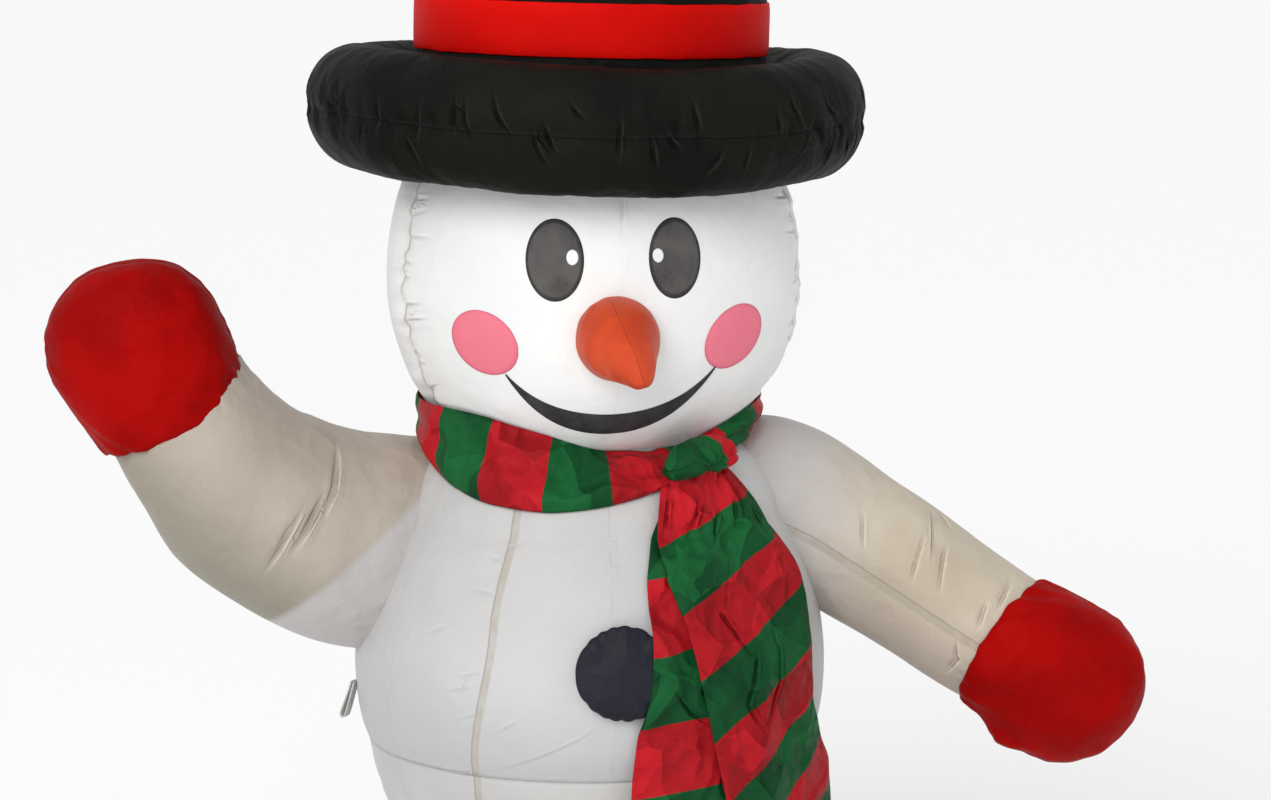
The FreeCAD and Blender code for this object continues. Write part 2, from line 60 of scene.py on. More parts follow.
def lookingFrom(place, aim):
    return Matrix.Translation(place) @ (aim - place).to_track_quat("-Z", "Y").to_matrix().to_4x4()


def addCamera():
    turn = math.radians(viewing["turn"])
    back = Vector((math.sin(turn), -math.cos(turn), 0))
    across = Vector((math.cos(turn), math.sin(turn), 0))
    aim = across * viewing["aside"] + Vector((0, 0, viewing["aimHeight"]))
    data = bpy.data.cameras.new("camera")
    data.lens = viewing["lens"]
    camera = bpy.data.objects.new("camera", data)
    camera.matrix_world = lookingFrom(back * viewing["distance"] + Vector((0, 0, viewing["height"])), aim)
    bpy.context.collection.objects.link(camera)
    bpy.context.scene.camera = camera


def addLights():
    for lamp in lamps:
        data = bpy.data.lights.new(lamp["name"], lamp["kind"])
        data.energy = lamp["power"]
        if lamp["kind"] == "SUN":
            data.angle = lamp["size"]
        else:
            data.size = lamp["size"]
        light = bpy.data.objects.new(lamp["name"], data)
        light.matrix_world = lookingFrom(Vector(lamp["place"]), Vector((0, 0, studio["aimHeight"])))
        bpy.context.collection.objects.link(light)
    world = bpy.data.worlds.new("studio")
    world.use_nodes = True
    background = world.node_tree.nodes["Background"]
    background.inputs["Color"].default_value = (1, 1, 1, 1)
    background.inputs["Strength"].default_value = studio["light"]
    bpy.context.scene.world = world
    bpy.context.scene.view_settings.view_transform = "Standard"


# materials
def addNode(tree, kind, **values):
    node = tree.nodes.new(kind)
    for name, value in values.items():
        setattr(node, name, value)
    return node


def mathNode(tree, operation, first, second=0.0, third=0.0):
    node = addNode(tree, "ShaderNodeMath", operation=operation)
    for index, value in enumerate((first, second, third)):
        if isinstance(value, (int, float)):
            node.inputs[index].default_value = value
        else:
            tree.links.new(value, node.inputs[index])
    return node.outputs[0]


def mixColours(tree, factor, first, second):
    node = addNode(tree, "ShaderNodeMix", data_type="RGBA")
    for socket, value in ((node.inputs[0], factor), (node.inputs[6], first), (node.inputs[7], second)):
        if isinstance(value, (int, float, tuple)):
            socket.default_value = (*value, 1) if isinstance(value, tuple) else value
        else:
            tree.links.new(value, socket)
    return node.outputs[2]


def rangeNode(tree, value, low, high, newLow=0.0, newHigh=1.0):
    node = addNode(tree, "ShaderNodeMapRange", interpolation_type="SMOOTHSTEP")
    tree.links.new(value, node.inputs[0])
    for index, number in enumerate((low, high, newLow, newHigh)):
        node.inputs[index + 1].default_value = number
    return node.outputs[0]


def noiseNode(tree, place, scale, detail=2.0, roughness=0.5):
    node = addNode(tree, "ShaderNodeTexNoise")
    tree.links.new(place, node.inputs["Vector"])
    node.inputs["Scale"].default_value = scale
    node.inputs["Detail"].default_value = detail
    node.inputs["Roughness"].default_value = roughness
    return node.outputs["Fac"]


def bumpNode(tree, height, distance, strength=1.0, after=None):
    node = addNode(tree, "ShaderNodeBump")
    node.inputs["Distance"].default_value = distance
    node.inputs["Strength"].default_value = strength
    tree.links.new(height, node.inputs["Height"])
    if after is not None:
        tree.links.new(after, node.inputs["Normal"])
    return node.outputs["Normal"]


def attributeNode(tree, name):
    return addNode(tree, "ShaderNodeAttribute", attribute_name=name).outputs["Fac"]


def newMaterial(name):
    material = bpy.data.materials.new(name)
    material.use_nodes = True
    tree = material.node_tree
    place = addNode(tree, "ShaderNodeTexCoord").outputs["Object"]
    return material, tree, tree.nodes["Principled BSDF"], place


def facetNodes(tree, place, facets):
    # flat patches with sharp folds between them, as in cloth that was packed away
    if not facets:
        return []
    shift = addNode(tree, "ShaderNodeTexNoise")
    shift.inputs["Scale"].default_value = 9
    tree.links.new(place, shift.inputs["Vector"])
    warp = addNode(tree, "ShaderNodeVectorMath", operation="MULTIPLY_ADD")
    tree.links.new(shift.outputs["Color"], warp.inputs[0])
    warp.inputs[1].default_value = (0.05, 0.05, 0.05)
    tree.links.new(place, warp.inputs[2])
    cells = []
    for scale, depth in facets:
        cell = addNode(tree, "ShaderNodeTexVoronoi")
        cell.inputs["Scale"].default_value = scale
        tree.links.new(warp.outputs[0], cell.inputs["Vector"])
        cells.append(cell)
    return cells


def paintedPatchShading(tree, tone, cell, share):
    # painted light and shade: each flat patch of crumpled cloth catches the light a little differently, so
    # each is given its own lighter or darker colour
    apart = addNode(tree, "ShaderNodeSeparateColor")
    tree.links.new(cell.outputs["Color"], apart.inputs[0])
    patchy = rangeNode(tree, apart.outputs[0], 0.15, 0.85)
    return mathNode(tree, "ADD", mathNode(tree, "MULTIPLY", tone, 1 - share),
                    mathNode(tree, "MULTIPLY", patchy, share))


def stripeNodes(tree, tone, colour, stripes):
    # every other stripe takes the second pair of colours
    pair = mathNode(tree, "FRACT", mathNode(tree, "MULTIPLY", attributeNode(tree, "stripe"), 0.5))
    second = rangeNode(tree, mathNode(tree, "SUBTRACT", pair, 0.5), -0.004, 0.004)
    return mixColours(tree, second, colour, mixColours(tree, tone, stripes[0], stripes[1]))


def weaveNodes(tree, place, look):
    # two sets of threads that cross
    threads = []
    for direction in ("X", "Z"):
        wave = addNode(tree, "ShaderNodeTexWave", wave_type="BANDS", bands_direction=direction)
        tree.links.new(place, wave.inputs["Vector"])
        wave.inputs["Scale"].default_value = look.get("weaveScale", 420)
        wave.inputs["Distortion"].default_value = 0.6
        threads.append(wave.outputs["Fac"])
    weave = mathNode(tree, "MULTIPLY", threads[0], threads[1])
    return bumpNode(tree, weave, look.get("weaveDepth", 0.00008))


def paintedShadingNodes(tree, place, colour, paintedShading):
    # painted light and shade: slow changes of tone, each along one direction, for how the light falls on the
    # cloth and comes through it from inside
    for way, low, high, shade in paintedShading:
        along = addNode(tree, "ShaderNodeVectorMath", operation="DOT_PRODUCT")
        tree.links.new(place, along.inputs[0])
        along.inputs[1].default_value = way
        colour = mixColours(tree, rangeNode(tree, along.outputs["Value"], low, high), colour, shade)
    return colour


def foldNodes(tree, colour, normal, folds):
    # a sharp fold: a groove with a lip along one side, in the bump and in painted shadow and highlight
    line = attributeNode(tree, "fold")
    show = attributeNode(tree, "foldShow")
    onLine = rangeNode(tree, mathNode(tree, "ABSOLUTE", line), 0.0030, 0.0)
    groove = mathNode(tree, "MULTIPLY", show, onLine)
    beside = mathNode(tree, "ABSOLUTE", mathNode(tree, "ADD", line, 0.0045))
    lip = mathNode(tree, "MULTIPLY", show, rangeNode(tree, beside, 0.0034, 0.0))
    normal = bumpNode(tree, mathNode(tree, "SUBTRACT", lip, groove), folds["height"], 1.0, normal)
    # painted shadow darkens the groove
    colour = mixColours(tree, mathNode(tree, "MULTIPLY", groove, folds["show"]), colour, folds["paintedGrooveShadow"])
    # painted highlight lightens the lip, where the look gives a light colour
    if "light" in folds:
        shine = mathNode(tree, "MULTIPLY", lip, 1.6 * folds["show"])
        colour = mixColours(tree, shine, colour, folds["light"])
    return colour, normal


def seamNodes(tree, place, colour, normal, look):
    # the turned-in allowance shows through beside the seam, with a row of stitches along it
    seam = attributeNode(tree, "seam")
    inBand = mathNode(tree, "MULTIPLY", rangeNode(tree, seam, -0.0006, 0.0006),
                      rangeNode(tree, seam, look["seamBand"], look["seamBand"] - 0.0016))
    frayed = rangeNode(tree, noiseNode(tree, place, 55, 2), 0.25, 0.7, 0.55, 1.0)
    band = mathNode(tree, "MULTIPLY", mathNode(tree, "MULTIPLY", inBand, frayed), look["seamShow"])
    colour = mixColours(tree, band, colour, look["seamTint"])
    offLine = rangeNode(tree, mathNode(tree, "ABSOLUTE", seam), 0.0003, 0.0011)
    nearLine = mathNode(tree, "SUBTRACT", 1.0, offLine)
    count = mathNode(tree, "MULTIPLY", attributeNode(tree, "run"), 260)
    dash = rangeNode(tree, mathNode(tree, "FRACT", count), 0.45, 0.6, 1.0, 0.35)
    stitches = mathNode(tree, "MULTIPLY", mathNode(tree, "MULTIPLY", nearLine, dash), look["seamShow"])
    colour = mixColours(tree, stitches, colour, look["stitch"])
    normal = bumpNode(tree, mathNode(tree, "SUBTRACT", 1.0, nearLine), 0.0008, 0.8, normal)
    return colour, normal


def glowNodes(tree, place, shader, glow):
    # painted glow: the cloth is given emission for the lamps inside lighting it up, most of all around one
    # spot
    spot = addNode(tree, "ShaderNodeMapping")
    spot.inputs["Location"].default_value = tuple(-c / s for c, s in zip(glow["centre"], glow["spread"]))
    spot.inputs["Scale"].default_value = tuple(1 / s for s in glow["spread"])
    tree.links.new(place, spot.inputs["Vector"])
    length = addNode(tree, "ShaderNodeVectorMath", operation="LENGTH")
    tree.links.new(spot.outputs[0], length.inputs[0])
    share = rangeNode(tree, length.outputs["Value"], 1.0, 0.0)
    tree.links.new(mixColours(tree, share, glow["far"], glow["near"]), shader.inputs["Emission Color"])
    shader.inputs["Emission Strength"].default_value = glow["strength"]


def clothMaterial(name, look):
    # woven, lightly crinkled cloth: weave and crinkle in the bump, slow tone changes in the colour, and
    # painted light, shade and glow where the look asks for them
    material, tree, shader, place = newMaterial(name)
    tone = rangeNode(tree, noiseNode(tree, place, look.get("toneScale", 9), 3), 0.35, 0.65)
    facets = look.get("facets", [])
    cells = facetNodes(tree, place, facets)
    # painted light and shade: a lighter or darker colour for each flat patch
    if "patchShading" in look:
        tone = paintedPatchShading(tree, tone, cells[0], look["patchShading"])
    colour = mixColours(tree, tone, look["colour"], look["deep"])
    if "stripes" in look:
        colour = stripeNodes(tree, tone, colour, look["stripes"])
    # the weave shows as a fine grain in the colour too
    grain = noiseNode(tree, place, look.get("grainScale", 900), 1)
    grainShare = rangeNode(tree, grain, 0.3, 0.7, 0.0, look.get("grain", 0.12))
    colour = mixColours(tree, grainShare, colour, look["deep"])
    crinkle = noiseNode(tree, place, look.get("crinkleScale", 38), 3, 0.55)
    normal = bumpNode(tree, crinkle, look.get("crinkleDepth", 0.0015), 1.0, weaveNodes(tree, place, look))
    for cell, (scale, depth) in zip(cells, facets):
        normal = bumpNode(tree, cell.outputs["Distance"], depth, 1.0, normal)
    colour = paintedShadingNodes(tree, place, colour, look.get("paintedShading", []))
    if "folds" in look:
        colour, normal = foldNodes(tree, colour, normal, look["folds"])
    if "seamTint" in look:
        colour, normal = seamNodes(tree, place, colour, normal, look)
    if "glow" in look:
        glowNodes(tree, place, shader, look["glow"])
    tree.links.new(colour, shader.inputs["Base Color"])
    tree.links.new(normal, shader.inputs["Normal"])
    shader.inputs["Roughness"].default_value = look.get("roughness", 0.5)
    shader.inputs["Sheen Weight"].default_value = look.get("sheen", 0.15)
    shader.inputs["Sheen Roughness"].default_value = 0.4
    shader.inputs["Specular IOR Level"].default_value = look.get("gloss", 0.4)
    return material


# the white cloth; the head, chest, lower body and arms are copies of it at different brightness and tint,
# painted light and shade for how strongly the lamps inside light each
whiteCloth = {
    "colour": (0.73, 0.73, 0.715), "deep": (0.66, 0.665, 0.66), "toneScale": 5, "grain": 0.25,
    "roughness": 0.46, "sheen": 0.03, "gloss": 0.22, "crinkleScale": 17, "crinkleDepth": 0.0042,
    "seamTint": (0.36, 0.32, 0.265), "stitch": (0.27, 0.25, 0.22), "seamBand": 0.010, "seamShow": 0.75,
}
# the arms' folds: painted shadow in the grooves and painted highlight on the lips
armCloth = dict(whiteCloth, toneScale=6, seamTint=(0.29, 0.25, 0.20), seamShow=0.5, crinkleScale=26,
                crinkleDepth=0.0030, facets=[(11, 0.0045), (31, 0.0016)],
                folds={"height": 0.0018, "show": 0.42, "paintedGrooveShadow": (0.22, 0.18, 0.14),
                       "light": (0.66, 0.60, 0.46)})
clothLooks = {
    # the chest: darker towards the bottom as painted shade, small folds with painted shadow and highlight,
    # and a painted bluish glow low on the front
    "chestCloth": dict(whiteCloth, colour=(0.50, 0.495, 0.485), deep=(0.445, 0.442, 0.438),
                       paintedShading=[((0, 0, -1), -0.67, -0.55, (0.425, 0.42, 0.43))],
                       folds={"height": 0.0006, "show": 0.16, "paintedGrooveShadow": (0.30, 0.29, 0.29),
                              "light": (0.60, 0.60, 0.60)},
                       glow={"centre": (-0.03, -0.27, 0.66), "spread": (0.20, 0.4, 0.16),
                             "near": (0.62, 0.66, 0.80), "far": (0.05, 0.05, 0.05), "strength": 0.10}),
    # the head: folds with painted shadow and highlight, and a painted glow over the whole head, brightest on
    # the front
    "headCloth": dict(whiteCloth,
                      folds={"height": 0.0012, "show": 0.26, "paintedGrooveShadow": (0.42, 0.42, 0.41),
                             "light": (0.86, 0.87, 0.87)},
                      glow={"centre": (0.02, -0.22, 1.06), "spread": (0.30, 0.5, 0.24),
                            "near": (0.74, 0.80, 0.84), "far": (0.30, 0.31, 0.31), "strength": 0.13}),
    "lowerCloth": dict(whiteCloth, colour=(0.48, 0.475, 0.465), deep=(0.43, 0.425, 0.42)),
    # the raised arm: painted shade darkens its lower, outer part, and a crisp, greyer patch by the armpit is
    # painted light coming through from the body
    "armCloth": dict(armCloth, colour=(0.43, 0.38, 0.325), deep=(0.365, 0.315, 0.265),
                     paintedShading=[((-0.707, 0, -0.707), -0.34, -0.22, (0.265, 0.240, 0.190)),
                             ((0.64, 0, -0.77), -0.769, -0.757, (0.46, 0.44, 0.435))]),
    # the lowered arm: a lighter copy of the arm cloth, painted light, with painted shade along its underside
    # and a greyer tone by the armhole painted as light coming through from the body
    "litArmCloth": dict(armCloth, colour=(0.52, 0.455, 0.365), deep=(0.43, 0.37, 0.285),
                        folds={"height": 0.0016, "show": 0.34, "paintedGrooveShadow": (0.30, 0.25, 0.20),
                               "light": (0.78, 0.70, 0.56)},
                        paintedShading=[((-0.5, 0, -0.85), -0.80, -0.72, (0.40, 0.340, 0.285)),
                                ((-1, 0, 0.25), -0.15, 0.0, (0.44, 0.415, 0.405))]),
    # the hat: fold grooves with painted shadow and fold lips with painted highlight
    "hatCloth": {"colour": (0.0045, 0.0048, 0.0040), "deep": (0.0075, 0.0080, 0.0058), "roughness": 0.55,
                 "sheen": 0.0, "gloss": 0.05, "crinkleScale": 26, "crinkleDepth": 0.004, "grain": 0.2,
                 "facets": [(16, 0.005), (38, 0.002)],
                 "folds": {"height": 0.0030, "show": 0.5, "paintedGrooveShadow": (0.0012, 0.0012, 0.0012),
                           "light": (0.026, 0.026, 0.023)},
                 "seamTint": (0.010, 0.010, 0.009), "stitch": (0.001, 0.001, 0.001), "seamBand": 0.006,
                 "seamShow": 0.7},
    "bandCloth": {"colour": (0.60, 0.0040, 0.0020), "deep": (0.50, 0.003, 0.002), "roughness": 0.5,
                  "sheen": 0.0, "gloss": 0.03, "crinkleScale": 22, "crinkleDepth": 0.002, "grain": 0.12},
    "mittenCloth": {"colour": (0.34, 0.0024, 0.0018), "deep": (0.24, 0.0016, 0.0012), "roughness": 0.48,
                    "sheen": 0.0, "gloss": 0.025, "crinkleScale": 24, "crinkleDepth": 0.003, "grain": 0.2,
                    "facets": [(15, 0.008), (34, 0.003)], "seamTint": (0.18, 0.003, 0.003),
                    "stitch": (0.08, 0.001, 0.002), "seamBand": 0.006, "seamShow": 0.6},
    "eyeCloth": {"colour": (0.052, 0.050, 0.050), "deep": (0.095, 0.090, 0.086), "roughness": 0.55,
                 "toneScale": 26, "gloss": 0.12, "grain": 0.5, "grainScale": 420, "crinkleScale": 60,
                 "crinkleDepth": 0.0006, "sheen": 0.0, "seamTint": (0.022, 0.021, 0.021),
                 "stitch": (0.010, 0.010, 0.010), "seamBand": 0.0045, "seamShow": 0.8},
    "glintCloth": {"colour": (0.80, 0.81, 0.82), "deep": (0.72, 0.74, 0.76), "roughness": 0.5,
                   "crinkleDepth": 0.0003, "sheen": 0.0, "gloss": 0.15},
    "cheekCloth": {"colour": (0.74, 0.185, 0.25), "deep": (0.70, 0.165, 0.225), "roughness": 0.5,
                   "grain": 0.2, "crinkleScale": 50, "crinkleDepth": 0.0010, "sheen": 0.0, "gloss": 0.12,
                   "seamTint": (0.66, 0.14, 0.195), "stitch": (0.50, 0.09, 0.13), "seamBand": 0.004,
                   "seamShow": 0.6},
    "mouthCloth": {"colour": (0.022, 0.021, 0.023), "deep": (0.040, 0.038, 0.041), "roughness": 0.55,
                   "toneScale": 50, "grain": 0.35, "grainScale": 420, "crinkleDepth": 0.0005, "sheen": 0.0,
                   "gloss": 0.12},
    "noseCloth": {"colour": (0.60, 0.072, 0.020), "deep": (0.50, 0.052, 0.016), "roughness": 0.45,
                  "toneScale": 14, "gloss": 0.14, "crinkleScale": 40, "crinkleDepth": 0.0015, "grain": 0.2,
                  "sheen": 0.0, "facets": [(24, 0.006)], "seamTint": (0.50, 0.055, 0.016),
                  "stitch": (0.40, 0.045, 0.016), "seamBand": 0.003, "seamShow": 0.45},
    "buttonCloth": {"colour": (0.010, 0.0105, 0.016), "deep": (0.017, 0.018, 0.026), "roughness": 0.5,
                    "sheen": 0.0, "gloss": 0.14, "crinkleScale": 60, "crinkleDepth": 0.002, "grain": 0.4,
                    "facets": [(34, 0.004)]},
    # the scarf: each flat patch gets painted light or shade, and fold grooves a painted shadow
    "scarfCloth": {"colour": (0.0085, 0.108, 0.029), "deep": (0.0032, 0.038, 0.012),
                   "stripes": ((0.50, 0.0090, 0.018), (0.27, 0.0042, 0.009)),
                   "patchShading": 0.62, "roughness": 0.50, "sheen": 0.0, "gloss": 0.07, "crinkleScale": 30,
                   "crinkleDepth": 0.003, "grain": 0.12, "toneScale": 12,
                   "facets": [(20, 0.016), (47, 0.006)],
                   "folds": {"height": 0.0035, "show": 0.55, "paintedGrooveShadow": (0.007, 0.005, 0.005)}},
    "sleeveCloth": dict(whiteCloth, crinkleDepth=0.003),
    "baseCloth": {"colour": (0.30, 0.30, 0.29), "deep": (0.24, 0.24, 0.23), "roughness": 0.7, "grain": 0.4,
                  "weaveScale": 200, "weaveDepth": 0.0003, "sheen": 0.0},
    "bagCloth": {"colour": (0.16, 0.16, 0.16), "deep": (0.12, 0.12, 0.12), "roughness": 0.75, "grain": 0.4,
                 "weaveScale": 200, "weaveDepth": 0.0003, "sheen": 0.0},
    "webbing": {"colour": (0.66, 0.66, 0.63), "deep": (0.54, 0.54, 0.52), "roughness": 0.7, "grain": 0.4,
                "weaveScale": 160, "weaveDepth": 0.0005, "toneScale": 60, "sheen": 0.0, "gloss": 0.15},
    "darkWebbing": {"colour": (0.02, 0.02, 0.02), "deep": (0.035, 0.035, 0.035), "roughness": 0.7,
                    "grain": 0.4, "weaveScale": 160, "weaveDepth": 0.0005, "toneScale": 60, "sheen": 0.0,
                    "gloss": 0.15},
}
hardLooks = {
    "blackPlastic": {"colour": (0.018, 0.018, 0.019), "worn": (0.035, 0.035, 0.036), "roughness": 0.5,
                     "metal": 0, "grainDepth": 0.0002, "grainScale": 700},
    "glossPlastic": {"colour": (0.012, 0.012, 0.013), "worn": (0.02, 0.02, 0.02), "roughness": 0.25,
                     "metal": 0, "grainDepth": 0.00005, "grainScale": 500},
    "zipPlastic": {"colour": (0.76, 0.76, 0.74), "worn": (0.62, 0.62, 0.60), "roughness": 0.35, "metal": 0,
                   "grainDepth": 0.00005, "grainScale": 500},
    "castAlloy": {"colour": (0.62, 0.62, 0.64), "worn": (0.45, 0.45, 0.47), "roughness": 0.35, "metal": 1,
                  "grainDepth": 0.0001, "grainScale": 400},
    "screwSteel": {"colour": (0.50, 0.50, 0.52), "worn": (0.36, 0.36, 0.38), "roughness": 0.3, "metal": 1,
                   "grainDepth": 0.0001, "grainScale": 600},
    "eyeletBrass": {"colour": (0.72, 0.52, 0.20), "worn": (0.52, 0.36, 0.14), "roughness": 0.28, "metal": 1,
                    "grainDepth": 0.0001, "grainScale": 400},
    "leadRubber": {"colour": (0.70, 0.70, 0.68), "worn": (0.60, 0.60, 0.58), "roughness": 0.55, "metal": 0,
                   "grainDepth": 0.0001, "grainScale": 300},
}


def hardMaterial(name, look):
    material, tree, shader, place = newMaterial(name)
    wear = rangeNode(tree, noiseNode(tree, place, 60, 4), 0.45, 0.75)
    tree.links.new(mixColours(tree, wear, look["colour"], look["worn"]), shader.inputs["Base Color"])
    grain = bumpNode(tree, noiseNode(tree, place, look["grainScale"], 2), look["grainDepth"])
    tree.links.new(grain, shader.inputs["Normal"])
    smoothest, dullest = look["roughness"] - 0.06, look["roughness"] + 0.1
    dull = rangeNode(tree, noiseNode(tree, place, 90, 3), 0.2, 0.8, smoothest, dullest)
    tree.links.new(dull, shader.inputs["Roughness"])
    shader.inputs["Metallic"].default_value = look["metal"]
    return material


lampLook = {"glass": (0.80, 0.90, 1.0), "frosted": (0.65, 0.78, 0.95), "light": (0.75, 0.88, 1.0),
            "dimLight": (0.55, 0.72, 0.95), "strength": 3.0, "roughness": 0.2}


def lampMaterial():
    material, tree, shader, place = newMaterial("lampGlass")
    frost = rangeNode(tree, noiseNode(tree, place, 300, 3), 0.3, 0.7)
    for socket, clear, frosted in (("Base Color", "glass", "frosted"),
                                   ("Emission Color", "light", "dimLight")):
        tree.links.new(mixColours(tree, frost, lampLook[clear], lampLook[frosted]), shader.inputs[socket])
    shader.inputs["Emission Strength"].default_value = lampLook["strength"]
    shader.inputs["Roughness"].default_value = lampLook["roughness"]
    return material


def makeMaterials():
    made = {name: clothMaterial(name, look) for name, look in clothLooks.items()}
    made.update({name: hardMaterial(name, look) for name, look in hardLooks.items()})
    made["lampGlass"] = lampMaterial()
    return made


# shared ways of making cloth pieces
def newPiece(name, bm, cloth):
    data = bpy.data.meshes.new(name)
    bm.to_mesh(data)
    bm.free()
    piece = bpy.data.objects.new(name, data)
    bpy.context.collection.objects.link(piece)
    data.materials.append(materials[cloth])
    for face in data.polygons:
        face.use_smooth = True
    return piece


def setAttribute(piece, name, values):
    layer = piece.data.attributes.get(name) or piece.data.attributes.new(name, "FLOAT", "POINT")
    layer.data.foreach_set("value", values)


def finishPiece(piece, body, nodes=(), levels=0, wall=0.0):
    if wall:
        solid = piece.modifiers.new("wall", "SOLIDIFY")
        solid.thickness = wall
        solid.offset = 1
    if levels:
        smooth = piece.modifiers.new("smooth", "SUBSURF")
        smooth.levels = levels
        smooth.render_levels = levels
    if body:
        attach(piece, body)
    if nodes:
        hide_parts(*nodes)
    return piece


def wobble(x, y=0.0, z=0.0):
    return noise.noise(Vector((x, y, z)))


def easeBetween(low, high, value):
    share = max(0.0, min(1.0, (value - low) / (high - low)))
    return share * share * (3 - 2 * share)


def crumple(x, y, seed):
    # a crumpled sheet's height: patches with sharp folds between them, between about -1 and 1
    bend = 0.5 * wobble(x * 6, y * 6, seed)
    height = 0.0
    for scale, size in ((9, 0.62), (21, 0.30), (46, 0.10)):
        nearest = noise.voronoi(Vector(((x + 0.02 * bend) * scale, (y - 0.03 * bend) * scale, seed)))[0]
        height += size * (2.0 * nearest[0] - 1.0)
    return height


def foldLines(folds):
    # each fold is a bent line of places with its depth, cut into straight lengths
    lines = []
    for places, deep in folds:
        steps = len(places) - 1
        for index in range(steps):
            start = Vector(places[index])
            lines.append((start, Vector(places[index + 1]) - start, index / steps, 1 / steps, deep))
    return lines


foldShape = {"reach": 0.10, "lift": 0.05, "fade": 0.0080, "groove": 0.0040, "lip": 0.0045,
             "lipAside": 0.0070, "lipShare": 0.7}
noFold = (0.03, 0.0, 0.0)  # across, show and depth where no fold is near


def foldAt(place, outward, lines):
    # how far across the nearest fold a place lies, how strongly the fold shows there, and its depth
    across, show, depth = noFold
    for start, way, before, part, deep in lines:
        offset = place - start
        if offset.length > foldShape["reach"]:
            continue
        lift = offset.dot(outward)
        if abs(lift) > foldShape["lift"]:
            continue
        offset -= outward * lift
        share = max(0.0, min(1.0, offset.dot(way) / way.length_squared))
        gap = (offset - way * share).length
        fromEnds = math.sin(math.pi * (0.05 + 0.90 * (before + share * part)))
        strength = fromEnds * math.exp(-(gap / foldShape["fade"]) ** 2)
        if strength > show:
            show = strength
            across = offset.dot(way.cross(outward).normalized())
            groove = math.exp(-(across / foldShape["groove"]) ** 2)
            lip = math.exp(-((across + foldShape["lipAside"]) / foldShape["lip"]) ** 2)
            depth = deep * strength * (groove - foldShape["lipShare"] * lip)
    return across, show, depth


def setFolds(piece, found):
    # what foldAt found at each vertex, for the cloth's material to sharpen
    setAttribute(piece, "fold", [across for across, show, depth in found])
    setAttribute(piece, "foldShow", [show for across, show, depth in found])


airSettings = {
    "quality": 4, "mass": 0.12, "tension_stiffness": 12, "compression_stiffness": 8, "shear_stiffness": 4,
    "bending_stiffness": 0.15, "use_pressure": True, "vertex_group_mass": "held",
}
airSteps = 20


def inflate(piece, held, cap, pressure):
    # blow the piece up a little from inside, with its seams held, and keep the creases that this leaves
    group = piece.vertex_groups.new(name=airSettings["vertex_group_mass"])
    group.add(held, 1.0, "REPLACE")
    before = [vertex.co.copy() for vertex in piece.data.vertices]
    cloth = piece.modifiers.new("air", "CLOTH")
    for name, value in airSettings.items():
        setattr(cloth.settings, name, value)
    cloth.settings.uniform_pressure_force = pressure
    cloth.settings.effector_weights.gravity = 0
    cloth.collision_settings.use_collision = False
    scene = bpy.context.scene
    for step in range(1, airSteps + 1):
        scene.frame_set(step)
    seen = piece.evaluated_get(bpy.context.evaluated_depsgraph_get())
    after = [vertex.co.copy() for vertex in seen.data.vertices]
    piece.modifiers.remove(cloth)
    piece.vertex_groups.remove(group)
    scene.frame_set(1)
    for vertex, start, end in zip(piece.data.vertices, before, after):
        move = end - start
        if move.length > cap:
            move = move.normalized() * cap
        vertex.co = start + move


# the body's outline, as radius and height of arcs that join end to end
outline = {
    "lower": [((0.2035, 0.0), (0.312, 0.205), (0.245, 0.385)),
              ((0.245, 0.385), (0.235, 0.430), (0.245, 0.475)),
              ((0.245, 0.475), (0.2545, 0.508), (0.261, 0.535))],
    "chest": [((0.261, 0.535), (0.272, 0.612), (0.262, 0.700)),
              ((0.262, 0.700), (0.247, 0.752), (0.224, 0.800)),
              ((0.224, 0.800), (0.203, 0.850), (0.150, 0.884))],
    "head": [((0.150, 0.884), (0.215, 0.965), (0.236, 1.064)),
             ((0.236, 1.064), (0.231, 1.125), (0.214, 1.185)),
             ((0.214, 1.185), (0.208, 1.201), (0.199, 1.214))],
}
allArcs = [arc for arcs in outline.values() for arc in arcs]
waistHeight = outline["chest"][0][0][1]


def circleThrough(first, middle, last):
    # centre and radius of the arc through three points
    (ax, ay), (bx, by), (cx, cy) = first, middle, last
    twice = 2 * (ax * (by - cy) + bx * (cy - ay) + cx * (ay - by))
    squares = (ax * ax + ay * ay, bx * bx + by * by, cx * cx + cy * cy)
    x = (squares[0] * (by - cy) + squares[1] * (cy - ay) + squares[2] * (ay - by)) / twice
    y = (squares[0] * (cx - bx) + squares[1] * (ax - cx) + squares[2] * (bx - ax)) / twice
    return x, y, math.hypot(ax - x, ay - y)


def arcRadius(arc, height):
    x, y, radius = circleThrough(*arc)
    side = 1 if arc[1][0] > x else -1
    return x + side * math.sqrt(max(radius ** 2 - (height - y) ** 2, 0))


def radiusAt(height):
    # the skin's distance from the body's axis
    for arc in allArcs:
        if arc[0][1] <= height <= arc[2][1]:
            return arcRadius(arc, height)
    return allArcs[-1][2][0]


def facing(azimuth):
    # outward direction, in degrees counted from the front towards the lowered arm
    turn = math.radians(azimuth)
    return Vector((math.sin(turn), -math.cos(turn), 0))


def onBody(azimuth, height, gap=0.0):
    return facing(azimuth) * (radiusAt(height) + gap) + Vector((0, 0, height))


def azimuthOf(place):
    return math.degrees(math.atan2(place.x, -place.y))


def angleGap(first, second):
    return (first - second + 180) % 360 - 180


def fullSpin(bm, shape, turns):
    bmesh.ops.spin(bm, geom=shape, cent=(0, 0, 0), axis=(0, 0, 1), angle=math.tau, steps=turns,
                   use_merge=True)
    bmesh.ops.remove_doubles(bm, verts=bm.verts, dist=0.00005)


